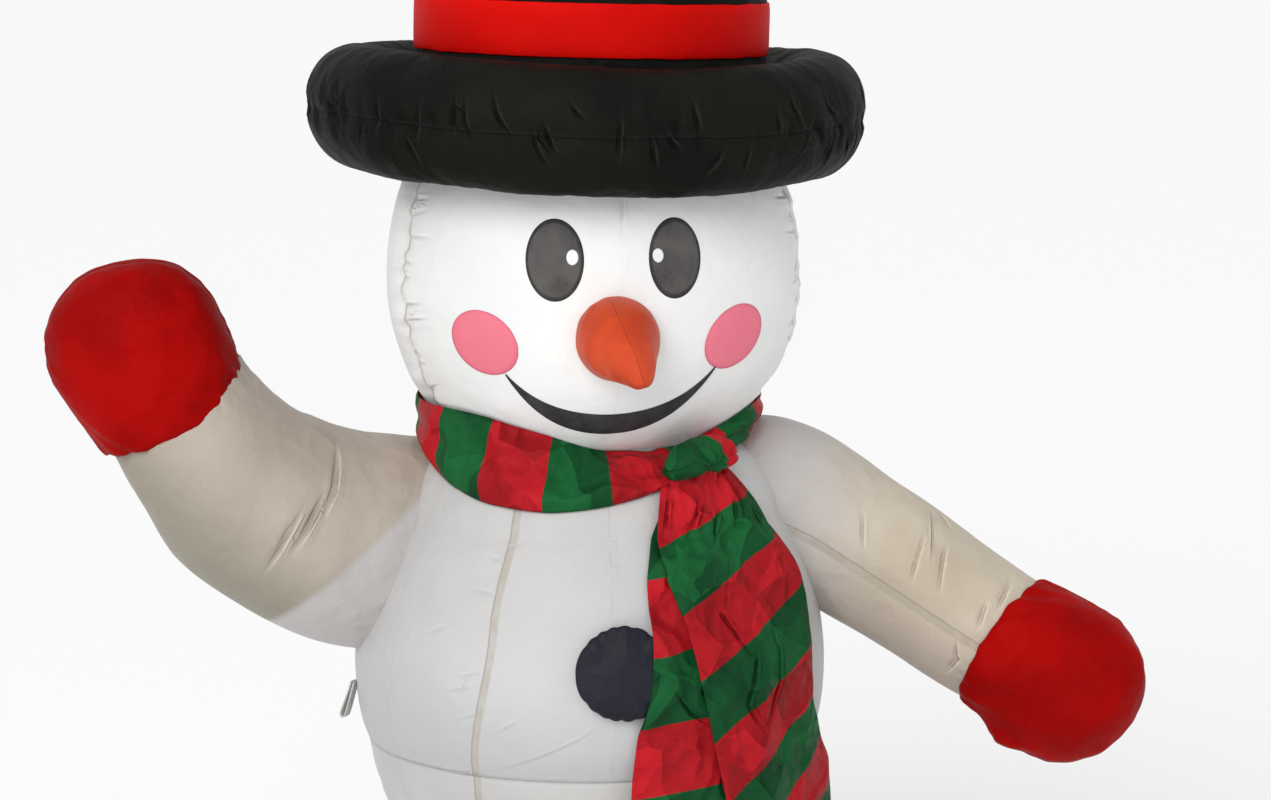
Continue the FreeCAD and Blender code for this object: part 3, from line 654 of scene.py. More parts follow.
def lathe(profile, turns, closeEnds):
    # spins a profile of radius and height about the upright axis
    bm = bmesh.new()
    line = [bm.verts.new((radius, 0, height)) for radius, height in profile]
    edges = [bm.edges.new(pair) for pair in zip(line, line[1:])]
    fullSpin(bm, line + edges, turns)
    if closeEnds:
        bmesh.ops.edgeloop_fill(bm, edges=[edge for edge in bm.edges if edge.is_boundary])
    bmesh.ops.recalc_face_normals(bm, faces=bm.faces)
    return bm


def sampleArcs(arcs, step):
    points = []
    for arc in arcs:
        low, high = arc[0][1], arc[2][1]
        count = max(int(math.dist(arc[0], arc[2]) / step), 2)
        for index in range(count + 1):
            height = low + (high - low) * index / count
            place = (arcRadius(arc, height), height)
            if not points or math.dist(points[-1], place) > step * 0.3:
                points.append(place)
    return points


# the three inflated body bags
bags = {
    "lower": {"name": "lower_bag", "node": "lower_body", "cloth": "lowerCloth", "step": 0.0065,
              "seams": (-30, 30, 90, 150, -150, -90), "pinch": 0.0035, "reach": 0.016, "pucker": 0.0022},
    "chest": {"name": "chest_bag", "node": "torso", "cloth": "chestCloth", "step": 0.0052,
              "seams": (-30, 30, 90, 150, -150, -90), "pinch": 0.0022, "reach": 0.014, "pucker": 0.0013},
    "head": {"name": "head_bag", "node": "head", "cloth": "headCloth", "step": 0.0050, "seams": (-74, 76),
             "pinch": 0.0065, "reach": 0.016, "pucker": 0.0075},
}
bagTurns = 192
headLean = 0.0055
farFromSeam = 0.03


def seamAzimuth(kind, seam, height):
    # the head's side seams wander a little where the two panels pull on each other
    side = math.copysign(1, seam)
    if kind == "head":
        return seam + (2.6 * wobble(height * 13, seam) + 1.6 * wobble(height * 34, seam)) * side
    if abs(seam) == 30:
        # the front seams spread towards the waist ring and close again below it
        spread = 5.4 * easeBetween(0.70, 0.52, height) * easeBetween(0.20, 0.50, height)
        spread -= 2.2 * easeBetween(0.70, 0.83, height)
        return seam + (spread + 1.2) * side
    return seam


# small folds by the front seam and a long one over the belly
chestFolds = foldLines([
    ([(-0.131, -0.233, 0.543), (-0.085, -0.256, 0.563), (-0.042, -0.268, 0.585), (-0.020, -0.270, 0.600)],
     0.0012),
    ([(-0.130, -0.238, 0.588), (-0.106, -0.250, 0.605)], 0.0012),
    ([(-0.136, -0.191, 0.778), (-0.118, -0.202, 0.771)], 0.0012),
    ([(-0.152, -0.196, 0.742), (-0.124, -0.214, 0.735)], 0.0012),
    ([(-0.170, -0.210, 0.646), (-0.141, -0.225, 0.654)], 0.0016),
    ([(-0.180, -0.203, 0.629), (-0.152, -0.220, 0.637)], 0.0014),
    ([(-0.119, -0.200, 0.784), (-0.098, -0.204, 0.793)], 0.0010),
    ([(-0.167, -0.215, 0.600), (-0.148, -0.226, 0.607)], 0.0012),
    ([(-0.200, -0.174, 0.688), (-0.178, -0.190, 0.700)], 0.0014),
])


def makeHeadFolds():
    # short folds running off both side seams, and a dart on the forehead
    chance = random.Random(4)
    folds = [([onBody(0.8, 1.182), onBody(1.2, 1.162), onBody(1.0, 1.144)], 0.0026)]
    for seam, way in ((-74, 1), (76, -1)):
        for step in range(11):
            height = 0.925 + 0.0235 * step + chance.uniform(-0.006, 0.006)
            start = seamAzimuth("head", seam, height) + way
            reach = way * chance.uniform(6, 16)
            drop = chance.uniform(-0.010, 0.012)
            places = [onBody(start + reach * share, height + drop * share) for share in (0, 0.5, 1)]
            folds.append((places, chance.uniform(0.0014, 0.0028)))
    return foldLines(folds)


bagFolds = {"chest": chestFolds, "head": makeHeadFolds(), "lower": []}


def sewnRing(azimuth, height):
    # the lower bag and the chest meet in a sewn ring with small gathers
    ring = abs(height - waistHeight)
    return (0.0018 * wobble(azimuth * 0.55, 4.0) * math.exp(-ring / 0.022)
            - 0.0026 * math.exp(-(ring / 0.016) ** 2))


def faceDents(azimuth, height):
    # gathers under the brim, a short dart on the forehead, and a pinch below the mouth
    move = 0.0020 * wobble(azimuth * 0.30, 9.0) * math.exp(-max(0.0, 1.185 - height) / 0.022)
    dart = math.exp(-((azimuth - 1.0) / 1.4) ** 2) * min(1.0, max(0.0, (height - 1.150) / 0.03))
    chin = math.hypot(math.radians(azimuth - 2) * 0.17, height - 0.905)
    move -= 0.004 * dart + 0.0030 * math.exp(-(chin / 0.008) ** 2)
    return move + 0.0016 * wobble(azimuth * 0.5, height * 30) * math.exp(-chin / 0.02)


def bagShape(kind, vertex):
    # where a vertex goes, and how far across the nearest seam it lies
    bag = bags[kind]
    height = vertex.z
    radius = math.hypot(vertex.x, vertex.y)
    if radius < 0.02:
        return vertex.copy(), 1.0
    azimuth = azimuthOf(vertex)
    gap = min((angleGap(azimuth, seamAzimuth(kind, seam, height)) for seam in bag["seams"]), key=abs)
    across = math.radians(gap) * radius
    low, high = outline[kind][0][0][1], outline[kind][-1][2][1]
    fade = min(1.0, max(0.0, high - height) / 0.02)
    ripple = (wobble(height * 62, round(azimuth / 60) * 3.1, across * 9)
              + 0.6 * wobble(height * 130, azimuth * 0.02))
    beside = math.exp(-abs(across) / (bag["reach"] * 1.7))
    move = bag["pucker"] * ripple * beside * fade - bag["pinch"] * math.exp(-(across / bag["reach"]) ** 2)
    move += 0.0022 * wobble(vertex.x * 9, vertex.y * 9, vertex.z * 7)
    move += faceDents(azimuth, height) if kind == "head" else sewnRing(azimuth, height)
    place = vertex + Vector((vertex.x, vertex.y, 0)).normalized() * move
    if kind == "head":
        # the head leans a little towards the lowered arm
        place.x += headLean * easeBetween(0.89, 1.0, height)
    elif height - low < 0.0001 and abs(across) >= 0.01:
        across = farFromSeam
    return place, across


def makeBag(kind):
    bag = bags[kind]
    bm = lathe(sampleArcs(outline[kind], bag["step"]), bagTurns, True)
    low, high = outline[kind][0][0][1], outline[kind][-1][2][1]
    bm.normal_update()
    found = [foldAt(vertex.co, vertex.normal, bagFolds[kind]) for vertex in bm.verts]
    seam = []
    run = []
    held = []
    for index, vertex in enumerate(bm.verts):
        height = vertex.co.z
        place, across = bagShape(kind, vertex.co)
        vertex.co = place - vertex.normal * found[index][2]
        seam.append(across)
        run.append(height)
        if abs(across) < 0.003 or height < low + 0.004 or height > high - 0.004:
            held.append(index)
    piece = newPiece(bag["name"], bm, bag["cloth"])
    setAttribute(piece, "seam", seam)
    setAttribute(piece, "run", run)
    setFolds(piece, found)
    inflate(piece, held, 0.006, 2.0)
    finishPiece(piece, "body", (bag["node"],))
    print("bag made:", bag["name"])
    return piece


addCamera()
addLights()
materials = makeMaterials()
madeBags = {kind: makeBag(kind) for kind in bags}
headSkin = BVHTree.FromObject(madeBags["head"], bpy.context.evaluated_depsgraph_get())


# sewn patches that follow the head
def dropOnHead(azimuth, height, gap):
    # finds the head's skin from outside at an azimuth and height, and stands off it by gap
    start = facing(azimuth) * 0.5 + Vector((0, 0, height))
    hit, normal, index, distance = headSkin.ray_cast(start, -facing(azimuth))
    return hit + normal * gap


patchInsets = (0.04, 0.06, 0.12, 0.13, 0.13, 0.13, 0.13, 0.10)
patches = [
    {"name": "left_eye_patch", "node": "left_eye", "cloth": "eyeCloth", "slot": "grey_patch",
     "azimuth": -15.8, "height": 1.106, "half": (0.0325, 0.0445), "lean": 2, "gap": 0.0003, "puff": 0.0012},
    {"name": "right_eye_patch", "node": "right_eye", "cloth": "eyeCloth", "slot": "grey_patch",
     "azimuth": 16.8, "height": 1.107, "half": (0.0300, 0.0435), "lean": -3, "gap": 0.0003, "puff": 0.0012},
    {"name": "left_eye_highlight", "node": "left_eye_glint", "cloth": "glintCloth", "slot": "white_patch",
     "azimuth": -10.9, "height": 1.1095, "half": (0.0064, 0.0082), "lean": 0, "gap": 0.0019, "puff": 0.0007},
    {"name": "right_eye_highlight", "node": "right_eye_glint", "cloth": "glintCloth", "slot": "white_patch",
     "azimuth": 11.9, "height": 1.1105, "half": (0.0060, 0.0075), "lean": 0, "gap": 0.0019, "puff": 0.0007},
    {"name": "left_cheek_patch", "node": "left_cheek", "cloth": "cheekCloth", "slot": "pink_patch",
     "azimuth": -37.0, "height": 1.0125, "half": (0.0435, 0.0355), "lean": -16, "gap": 0.0003,
     "puff": 0.0012},
    {"name": "right_cheek_patch", "node": "right_cheek", "cloth": "cheekCloth", "slot": "pink_patch",
     "azimuth": 36.5, "height": 1.016, "half": (0.0425, 0.0350), "lean": 22, "gap": 0.0003, "puff": 0.0012},
]


def makeOvalPatch(spec):
    bm = bmesh.new()
    bmesh.ops.create_circle(bm, cap_ends=True, segments=72, radius=1.0)
    for inner in patchInsets:
        middle = max(bm.faces, key=lambda face: len(face.verts))
        bmesh.ops.inset_region(bm, faces=[middle], thickness=inner, use_boundary=True, use_even_offset=True)
    bmesh.ops.poke(bm, faces=[max(bm.faces, key=lambda face: len(face.verts))])
    lean = Matrix.Rotation(math.radians(spec["lean"]), 3, "Z")
    rim = []
    run = []
    for vertex in bm.verts:
        reach = min(vertex.co.length, 1.0)
        rim.append((1 - reach) * min(spec["half"]) + 0.0002)
        run.append(math.atan2(vertex.co.y, vertex.co.x) * max(spec["half"]))
        local = lean @ Vector((vertex.co.x * spec["half"][0], vertex.co.y * spec["half"][1], 0))
        height = spec["height"] + local.y
        azimuth = spec["azimuth"] + math.degrees(local.x / radiusAt(height))
        puff = spec["puff"] * min(1.0, (1 - reach) / 0.10)
        vertex.co = dropOnHead(azimuth, height, spec["gap"] + puff)
    bmesh.ops.recalc_face_normals(bm, faces=bm.faces)
    piece = newPiece(spec["name"], bm, spec["cloth"])
    setAttribute(piece, "seam", rim)
    setAttribute(piece, "run", run)
    return finishPiece(piece, "body", (spec["node"],))


mouth = {"halfWidth": 0.1150, "corner": 0.9815, "cornerGap": 0.0015, "upper": 0.9335, "lower": 0.9090,
         "shift": 0.2, "lift": 0.0025, "gap": 0.0004, "puff": 0.0012}


def makeMouth():
    bm = bmesh.new()
    bmesh.ops.create_grid(bm, x_segments=64, y_segments=6, size=1.0)
    for vertex in bm.verts:
        along, across = vertex.co.x, (vertex.co.y + 1) / 2
        rise = 0.72 * along ** 2 + 0.28 * along ** 4
        upper = mouth["upper"] + (mouth["corner"] - mouth["upper"]) * rise
        lower = mouth["lower"] + (mouth["corner"] - mouth["cornerGap"] - mouth["lower"]) * rise
        height = lower + (upper - lower) * across + mouth["lift"] * along
        side = along * mouth["halfWidth"]
        azimuth = mouth["shift"] + math.degrees(math.asin(side / max(radiusAt(height), 0.16)))
        puff = mouth["puff"] * min(1.0, 6 * across, 6 * (1 - across))
        vertex.co = dropOnHead(azimuth, height, mouth["gap"] + puff)
    bmesh.ops.recalc_face_normals(bm, faces=bm.faces)
    piece = newPiece("mouth_patch", bm, "mouthCloth")
    return finishPiece(piece, "body", ("mouth",))


# tubes of cloth along a path
def smoothPath(stations, count):
    # a smooth run of centres and radii through the stations
    padded = [stations[0], *stations, stations[-1]]
    rows = []
    spans = len(stations) - 1
    for index in range(count + 1):
        reach = index / count * spans
        span = min(int(reach), spans - 1)
        share = reach - span
        values = []
        for part in range(4):
            a, b, c, d = (padded[span + step][part] for step in range(4))
            values.append(0.5 * (2 * b + (c - a) * share + (2 * a - 5 * b + 4 * c - d) * share ** 2
                                 + (3 * b - a - 3 * c + d) * share ** 3))
        rows.append((Vector(values[:3]), max(values[3], 0.0006)))
    return rows


def newOnes(made, kind):
    return [item for item in made["geom"] if isinstance(item, kind)]


def acrossWay(way):
    # the two directions across a tube: to the front, and to the side
    front = Vector((0, -1, 0))
    front = (front - way * front.dot(way)).normalized()
    return front, way.cross(front)


def tubeMesh(path, sides):
    # extrudes a ring along the path, turning and scaling it as it goes; side 0 faces the front
    bm = bmesh.new()
    centres = [centre for centre, radius in path]
    last = len(path) - 1
    ways = [(centres[min(i + 1, last)] - centres[max(i - 1, 0)]).normalized() for i in range(len(path))]
    front, side = acrossWay(ways[0])
    stand = Matrix.Translation(centres[0]) @ Matrix((front, side, ways[0])).transposed().to_4x4()
    bmesh.ops.create_circle(bm, segments=sides, radius=path[0][1], matrix=stand)
    edges = list(bm.edges)
    for index in range(1, len(path)):
        made = bmesh.ops.extrude_edge_only(bm, edges=edges)
        ring = newOnes(made, bmesh.types.BMVert)
        edges = [edge for edge in newOnes(made, bmesh.types.BMEdge)
                 if all(end in ring for end in edge.verts)]
        grow = path[index][1] / path[index - 1][1]
        centre = centres[index - 1]
        turn = ways[index - 1].rotation_difference(ways[index]).to_matrix()
        bmesh.ops.rotate(bm, verts=ring, cent=centre, matrix=turn)
        bmesh.ops.scale(bm, verts=ring, vec=(grow, grow, grow), space=Matrix.Translation(-centre))
        bmesh.ops.translate(bm, verts=ring, vec=centres[index] - centre)
    bmesh.ops.edgeloop_fill(bm, edges=[edge for edge in bm.edges if edge.is_boundary])
    bmesh.ops.recalc_face_normals(bm, faces=bm.faces)
    return bm, ways


def tubeCoordinates(bm, path, sides, ways):
    # the length along the path and the angle round it of each vertex, found from its own place
    runs = [0.0]
    for first, last in zip(path, path[1:]):
        runs.append(runs[-1] + (last[0] - first[0]).length)
    found = []
    for index, vertex in enumerate(bm.verts):
        row = min(index // sides, len(path) - 1)
        front, side = acrossWay(ways[row])
        offset = vertex.co - path[row][0]
        found.append((runs[row], math.degrees(math.atan2(offset.dot(side), offset.dot(front))), row))
    return found, runs[-1]


# the arms
arms = {
    "raised": {"name": "raised_sleeve", "node": "raised_arm", "body": "raised_arm", "cloth": "armCloth",
               "stations": [(-0.130, 0.0, 0.7625, 0.104), (-0.185, -0.001, 0.7600, 0.118),
                            (-0.240, -0.005, 0.7620, 0.1245), (-0.292, -0.012, 0.7720, 0.1225),
                            (-0.345, -0.021, 0.795, 0.1165), (-0.394, -0.030, 0.829, 0.1100),
                            (-0.431, -0.037, 0.871, 0.1000), (-0.459, -0.042, 0.912, 0.0905),
                            (-0.476, -0.045, 0.946, 0.0835)],
               "seam": 168, "start": (-0.215, 0, 0.755), "end": (-0.345, 0, 0.785), "flatten": 0.72,
               "folds": [([(-0.294, -0.077, 0.884), (-0.295, -0.103, 0.862), (-0.298, -0.118, 0.842),
                           (-0.313, -0.133, 0.812)],
                          0.0045),
                         ([(-0.309, -0.122, 0.841), (-0.319, -0.132, 0.819), (-0.331, -0.136, 0.799),
                           (-0.345, -0.136, 0.778)],
                          0.0055),
                         ([(-0.335, -0.134, 0.822), (-0.350, -0.138, 0.799), (-0.362, -0.135, 0.778),
                           (-0.377, -0.125, 0.754)],
                          0.0050)]},
    "lowered": {"name": "lowered_sleeve", "node": "lowered_arm", "body": "lowered_arm",
                "cloth": "litArmCloth",
                "stations": [(0.130, 0.0, 0.790, 0.070), (0.185, 0.0, 0.803, 0.0920),
                             (0.222, -0.004, 0.799, 0.0945), (0.262, -0.012, 0.779, 0.0915),
                             (0.312, -0.026, 0.746, 0.0865), (0.390, -0.054, 0.694, 0.0830),
                             (0.450, -0.078, 0.655, 0.0805), (0.502, -0.099, 0.622, 0.0775)],
                "seam": 10, "start": (0.240, 0, 0.790), "end": (0.335, -0.03, 0.735), "flatten": 0.88,
                "folds": [([(0.377, -0.121, 0.745), (0.382, -0.098, 0.770), (0.386, -0.067, 0.793)], 0.0045),
                          ([(0.373, -0.098, 0.778), (0.357, -0.122, 0.742), (0.351, -0.126, 0.724)], 0.0035),
                          ([(0.396, -0.106, 0.761), (0.390, -0.119, 0.746), (0.381, -0.135, 0.709)], 0.0040),
                          ([(0.301, -0.097, 0.802), (0.298, -0.110, 0.758)], 0.0015),
                          ([(0.400, -0.057, 0.790), (0.406, -0.082, 0.774)], 0.0030),
                          ([(0.470, -0.121, 0.723), (0.445, -0.150, 0.689)], 0.0050),
                          ([(0.436, -0.144, 0.703), (0.424, -0.152, 0.673)], 0.0035),
                          ([(0.400, -0.144, 0.657), (0.402, -0.140, 0.634), (0.391, -0.123, 0.615)],
                           0.0045)]},
}


armSides = 160
armRows = 128


def armMove(place, outward, run, angle, gap, fromWrist):
    # the cloth's puckers by the seam, gathers by the wrist, and slow unevenness
    ripple = wobble(run * 62, 2.0) + 0.6 * wobble(run * 120, 5.0)
    gathers = 0.0042 * wobble(angle * 0.13, run * 8) + 0.0022 * wobble(angle * 0.30, run * 14, 4.0)
    move = 0.0022 * ripple * math.exp(-abs(gap) / 0.026) - 0.0020 * math.exp(-(gap / 0.012) ** 2)
    return (move + gathers * math.exp(-fromWrist / 0.050)
            + 0.0040 * wobble(place.x * 11, place.y * 11, place.z * 11))


def makeArm(arm):
    path = smoothPath(arm["stations"], armRows)
    bm, ways = tubeMesh(path, armSides)
    places, length = tubeCoordinates(bm, path, armSides, ways)
    lines = foldLines(arm["folds"])
    seam = []
    runs = []
    held = []
    moves = []
    for index, (vertex, (run, angle, row)) in enumerate(zip(bm.verts, places)):
        centre, radius = path[row]
        squeeze = 1 - (1 - arm["flatten"]) * (1 - easeBetween(0.03, 0.26, run))
        vertex.co.y = centre.y + (vertex.co.y - centre.y) * squeeze
        gap = math.radians(angleGap(angle, arm["seam"])) * radius
        outward = vertex.co - centre
        outward = outward.normalized() if outward.length > 0.01 else Vector()
        move = armMove(vertex.co, outward, run, angle, gap, length - run)
        move += 0.0014 * crumple(run, math.radians(angle) * radius, 5.0)
        move -= foldAt(vertex.co, outward, lines)[2]
        moves.append(outward * move)
        seam.append(gap if row > 2 else farFromSeam)
        runs.append(run)
        if abs(gap) < 0.004 or row < 3 or row > len(path) - 4:
            held.append(index)
    for vertex, move in zip(bm.verts, moves):
        vertex.co += move
    piece = newPiece(arm["name"], bm, arm["cloth"])
    setAttribute(piece, "seam", seam)
    setAttribute(piece, "run", runs)
    setFolds(piece, [foldAt(vertex.co, vertex.normal, lines) for vertex in piece.data.vertices])
    inflate(piece, held, 0.004, 3.0)
    finishPiece(piece, None, (arm["node"],))
    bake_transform(piece)
    print("sleeve made:", arm["name"])
    return piece


# the mittens: palm and thumb grown together, with a seam round the edge
mittens = [
    {"name": "raised_hand", "node": "raised_mitten", "body": "raised_arm", "wrist": (-0.478, -0.0450, 0.930),
     "way": (-0.46, -0.09, 0.88), "length": 0.176, "radius": 0.0915, "thumbLean": 44, "thumbRoot": 0.014,
     "bow": 0.012},
    {"name": "lowered_hand", "node": "lowered_mitten", "body": "lowered_arm",
     "wrist": (0.474, -0.0880, 0.641), "way": (0.79, -0.30, -0.53), "length": 0.172, "radius": 0.0855,
     "thumbLean": 52, "thumbRoot": -0.004, "bow": 0.020},
]


# share of the mitten's length, and width as a share of its radius
palmShape = [(-0.04, 1.00), (0.05, 1.03), (0.30, 1.10), (0.55, 1.10), (0.76, 0.92), (0.90, 0.62),
             (0.975, 0.30), (1.0, 0.03)]
thumbShape = [(-0.1, 0.30), (0.20, 0.40), (0.45, 0.44), (0.68, 0.40), (0.84, 0.27), (0.92, 0.02)]
mittenGrowth = {"voxel": 0.0042, "smoothings": 7, "flat": 0.16, "thumbLength": 0.74, "thumbStart": 0.015}


def growTogether(name, wrist, root, way, thumbWay, hand):
    # palm and thumb tubes become one skin
    length, radius = hand["length"], hand["radius"]
    thumbReach = length * mittenGrowth["thumbLength"]
    palm = [(*(wrist + way * length * share), radius * size) for share, size in palmShape]
    thumb = [(*(root + thumbWay * thumbReach * share), radius * size) for share, size in thumbShape]
    bm = tubeMesh(smoothPath(palm, 40), 56)[0]
    part = tubeMesh(smoothPath(thumb, 28), 40)[0]
    extra = bpy.data.meshes.new("thumb")
    part.to_mesh(extra)
    part.free()
    bm.from_mesh(extra)
    bpy.data.meshes.remove(extra)
    piece = newPiece(name, bm, "mittenCloth")
    grow = piece.modifiers.new("join", "REMESH")
    grow.mode = "VOXEL"
    grow.voxel_size = mittenGrowth["voxel"]
    joined = bpy.data.meshes.new_from_object(piece.evaluated_get(bpy.context.evaluated_depsgraph_get()))
    piece.modifiers.clear()
    piece.data = joined
    return piece


def makeMitten(hand):
    wrist = Vector(hand["wrist"])
    way = Vector(hand["way"]).normalized()
    radius = hand["radius"]
    thumbWay = Matrix.Rotation(math.radians(hand["thumbLean"]), 3, "Y") @ way
    root = wrist + way * hand["thumbRoot"] + thumbWay * mittenGrowth["thumbStart"]
    piece = growTogether(hand["name"], wrist, root, way, thumbWay, hand)
    joined = piece.data
    bm = bmesh.new()
    bm.from_mesh(joined)
    for step in range(mittenGrowth["smoothings"]):
        bmesh.ops.smooth_vert(bm, verts=bm.verts, factor=0.6,
                              use_axis_x=True, use_axis_y=True, use_axis_z=True)
    normal = way.cross(thumbWay).normalized()
    for vertex in bm.verts:
        # the palm is flatter than the round cuff, and the cuff bows over the sleeve
        offset = vertex.co - wrist
        flat = mittenGrowth["flat"] * easeBetween(0.02, 0.09, offset.dot(way))
        vertex.co -= normal * offset.dot(normal) * flat
        atCuff = 1 - easeBetween(-0.01, 0.05, offset.dot(way))
        vertex.co += way * min(0.0, offset.y / radius) * hand["bow"] * atCuff
    bm.normal_update()
    moves = []
    seam = []
    run = []
    held = []
    crotch = root + thumbWay * 0.052 + way * 0.040
    for index, vertex in enumerate(bm.verts):
        offset = vertex.co - wrist
        gap = offset.dot(normal)
        along = offset.dot(way)
        around = math.degrees(math.atan2(gap, offset.dot(thumbWay)))
        ripple = wobble(along * 70, offset.dot(thumbWay) * 70, 3.0)
        move = 0.0026 * ripple * math.exp(-abs(gap) / 0.020) - 0.0022 * math.exp(-(gap / 0.008) ** 2)
        move += 0.0034 * wobble(around * 0.10, along * 6) * math.exp(-max(along, 0) / 0.030)
        move -= 0.0100 * math.exp(-((vertex.co - crotch).length / 0.020) ** 2)
        move += 0.0040 * wobble(vertex.co.x * 16, vertex.co.y * 16, vertex.co.z * 16)
        moves.append(vertex.normal * move)
        seam.append(gap if along > 0.004 else farFromSeam)
        run.append(along)
        if abs(gap) < 0.003 or along < 0.010:
            held.append(index)
    for vertex, move in zip(bm.verts, moves):
        vertex.co += move
    bm.to_mesh(joined)
    bm.free()
    if not joined.materials:
        joined.materials.append(materials["mittenCloth"])
    for face in joined.polygons:
        face.use_smooth = True
    setAttribute(piece, "seam", seam)
    setAttribute(piece, "run", run)
    inflate(piece, held, 0.003, 3.0)
    finishPiece(piece, hand["body"], (hand["node"],), levels=1)
    print("mitten made:", hand["name"])
    return piece


# the hat
hat = {
    "tilt": 1.4, "pivot": 1.215, "brimRadius": 0.261, "halfWidth": 0.056, "halfHeight": 0.0690,
    "brimHeight": 1.2465, "sideLift": 0.0085, "aside": -0.0035, "crown": 0.1985, "crownLow": 1.222,
    "shoulder": 1.480, "edge": 0.030, "top": 1.520, "dome": 0.009, "topSeam": (0.193, 1.503),
    "backSeam": 178, "bandLow": 1.3205, "bandHigh": 1.3795,
}
hatTilt = (Matrix.Translation((0, 0, hat["pivot"])) @ Matrix.Rotation(math.radians(hat["tilt"]), 4, "Y")
           @ Matrix.Translation((0, 0, -hat["pivot"])))


def makeBrimFolds():
    # short sharp folds standing on the seam all the way round
    chance = random.Random(11)
    folds = []
    for step in range(64):
        azimuth = step * 5.6 + chance.uniform(-2.4, 2.4)
        turn = chance.uniform(-0.25, 0.60)
        length = chance.uniform(0.22, 0.62)
        lean = chance.uniform(-4.0, 4.0)
        places = []
        for share in (0, 0.5, 1):
            height = turn - length * share
            reach = hat["brimRadius"] + hat["halfWidth"] * math.cos(height)
            places.append(facing(azimuth + lean * share ** 1.5) * reach
                          + Vector((0, 0, hat["brimHeight"] + hat["halfHeight"] * math.sin(height))))
        folds.append((places, chance.uniform(0.0010, 0.0034)))
    return foldLines(folds)


def makeBrim():
    # two ring panels sewn at the outer edge, where the cloth gathers into short upright creases
    bm = bmesh.new()
    section = (Matrix.Translation((hat["brimRadius"], 0, hat["brimHeight"]))
               @ Matrix.Rotation(math.radians(90), 4, "X"))
    ring = bmesh.ops.create_circle(bm, segments=56, radius=1.0)["verts"]
    for vertex in ring:
        vertex.co = section @ Vector((vertex.co.x * hat["halfWidth"], vertex.co.y * hat["halfHeight"], 0))
    fullSpin(bm, ring + list(bm.edges), 360)
    bmesh.ops.recalc_face_normals(bm, faces=bm.faces)
    seam = []
    run = []
    held = []
    found = []
    lines = makeBrimFolds()
    for index, vertex in enumerate(bm.verts):
        azimuth = azimuthOf(vertex.co)
        radius = math.hypot(vertex.co.x, vertex.co.y)
        flat = Vector((vertex.co.x, vertex.co.y, 0)).normalized()
        centre = flat * hat["brimRadius"] + Vector((0, 0, hat["brimHeight"]))
        outward = vertex.co - centre
        level = vertex.co.z - hat["brimHeight"] + 0.005 - 0.002 * wobble(azimuth * 0.05, 1.0)
        angle = math.atan2(level, radius - hat["brimRadius"])
        outer = radius > hat["brimRadius"]
        gap = angle * 0.066 if outer else farFromSeam
        strength = 0.25 + 0.75 * min(1.0, max(0.0, 0.5 + 1.6 * wobble(azimuth * 0.06, 12.0)))
        ripple = (wobble(azimuth * 0.33 + angle * 1.2, 7.0, angle * 1.5)
                  + 0.8 * wobble(azimuth * 0.8, 3.0, angle * 3))
        crest = -max(0.0, -ripple - 0.05) * 1.8 + 0.25 * ripple
        fade = math.exp(-abs(angle) / (0.30 + 0.5 * abs(wobble(azimuth * 0.2, 33.0))))
        move = -0.0040 * math.exp(-(gap / 0.008) ** 2)
        if outer:
            move += 0.0085 * strength * crest * fade
        move += 0.0020 * crumple(math.radians(azimuth) * 0.3, angle * 0.06, 9.0)
        inside = abs(abs(angle) - math.pi)
        move += (0.0040 * wobble(azimuth * 0.35, 21.0)) * math.exp(-inside / 0.9)
        move += 0.0040 * wobble(vertex.co.x * 8, vertex.co.y * 8, vertex.co.z * 12)
        outward.normalize()
        found.append(foldAt(vertex.co, outward, lines) if outer else noFold)
        vertex.co += outward * (move - found[-1][2])
        seam.append(gap)
        run.append(math.radians(azimuth) * 0.318)
        if abs(gap) < 0.004 and outer or inside < 0.08:
            held.append(index)
    piece = newPiece("brim_ring", bm, "hatCloth")
    setAttribute(piece, "seam", seam)
    setAttribute(piece, "run", run)
    setFolds(piece, found)
    inflate(piece, held, 0.004, 3.0)
    for vertex in piece.data.vertices:
        # the brim lifts a little at both sides
        vertex.co.z += hat["sideLift"] * (vertex.co.x / hat["brimRadius"]) ** 2
        vertex.co.x += hat["aside"]
    piece.data.transform(hatTilt)
    finishPiece(piece, "body", ("hat_brim",))
    print("brim made")
    return piece


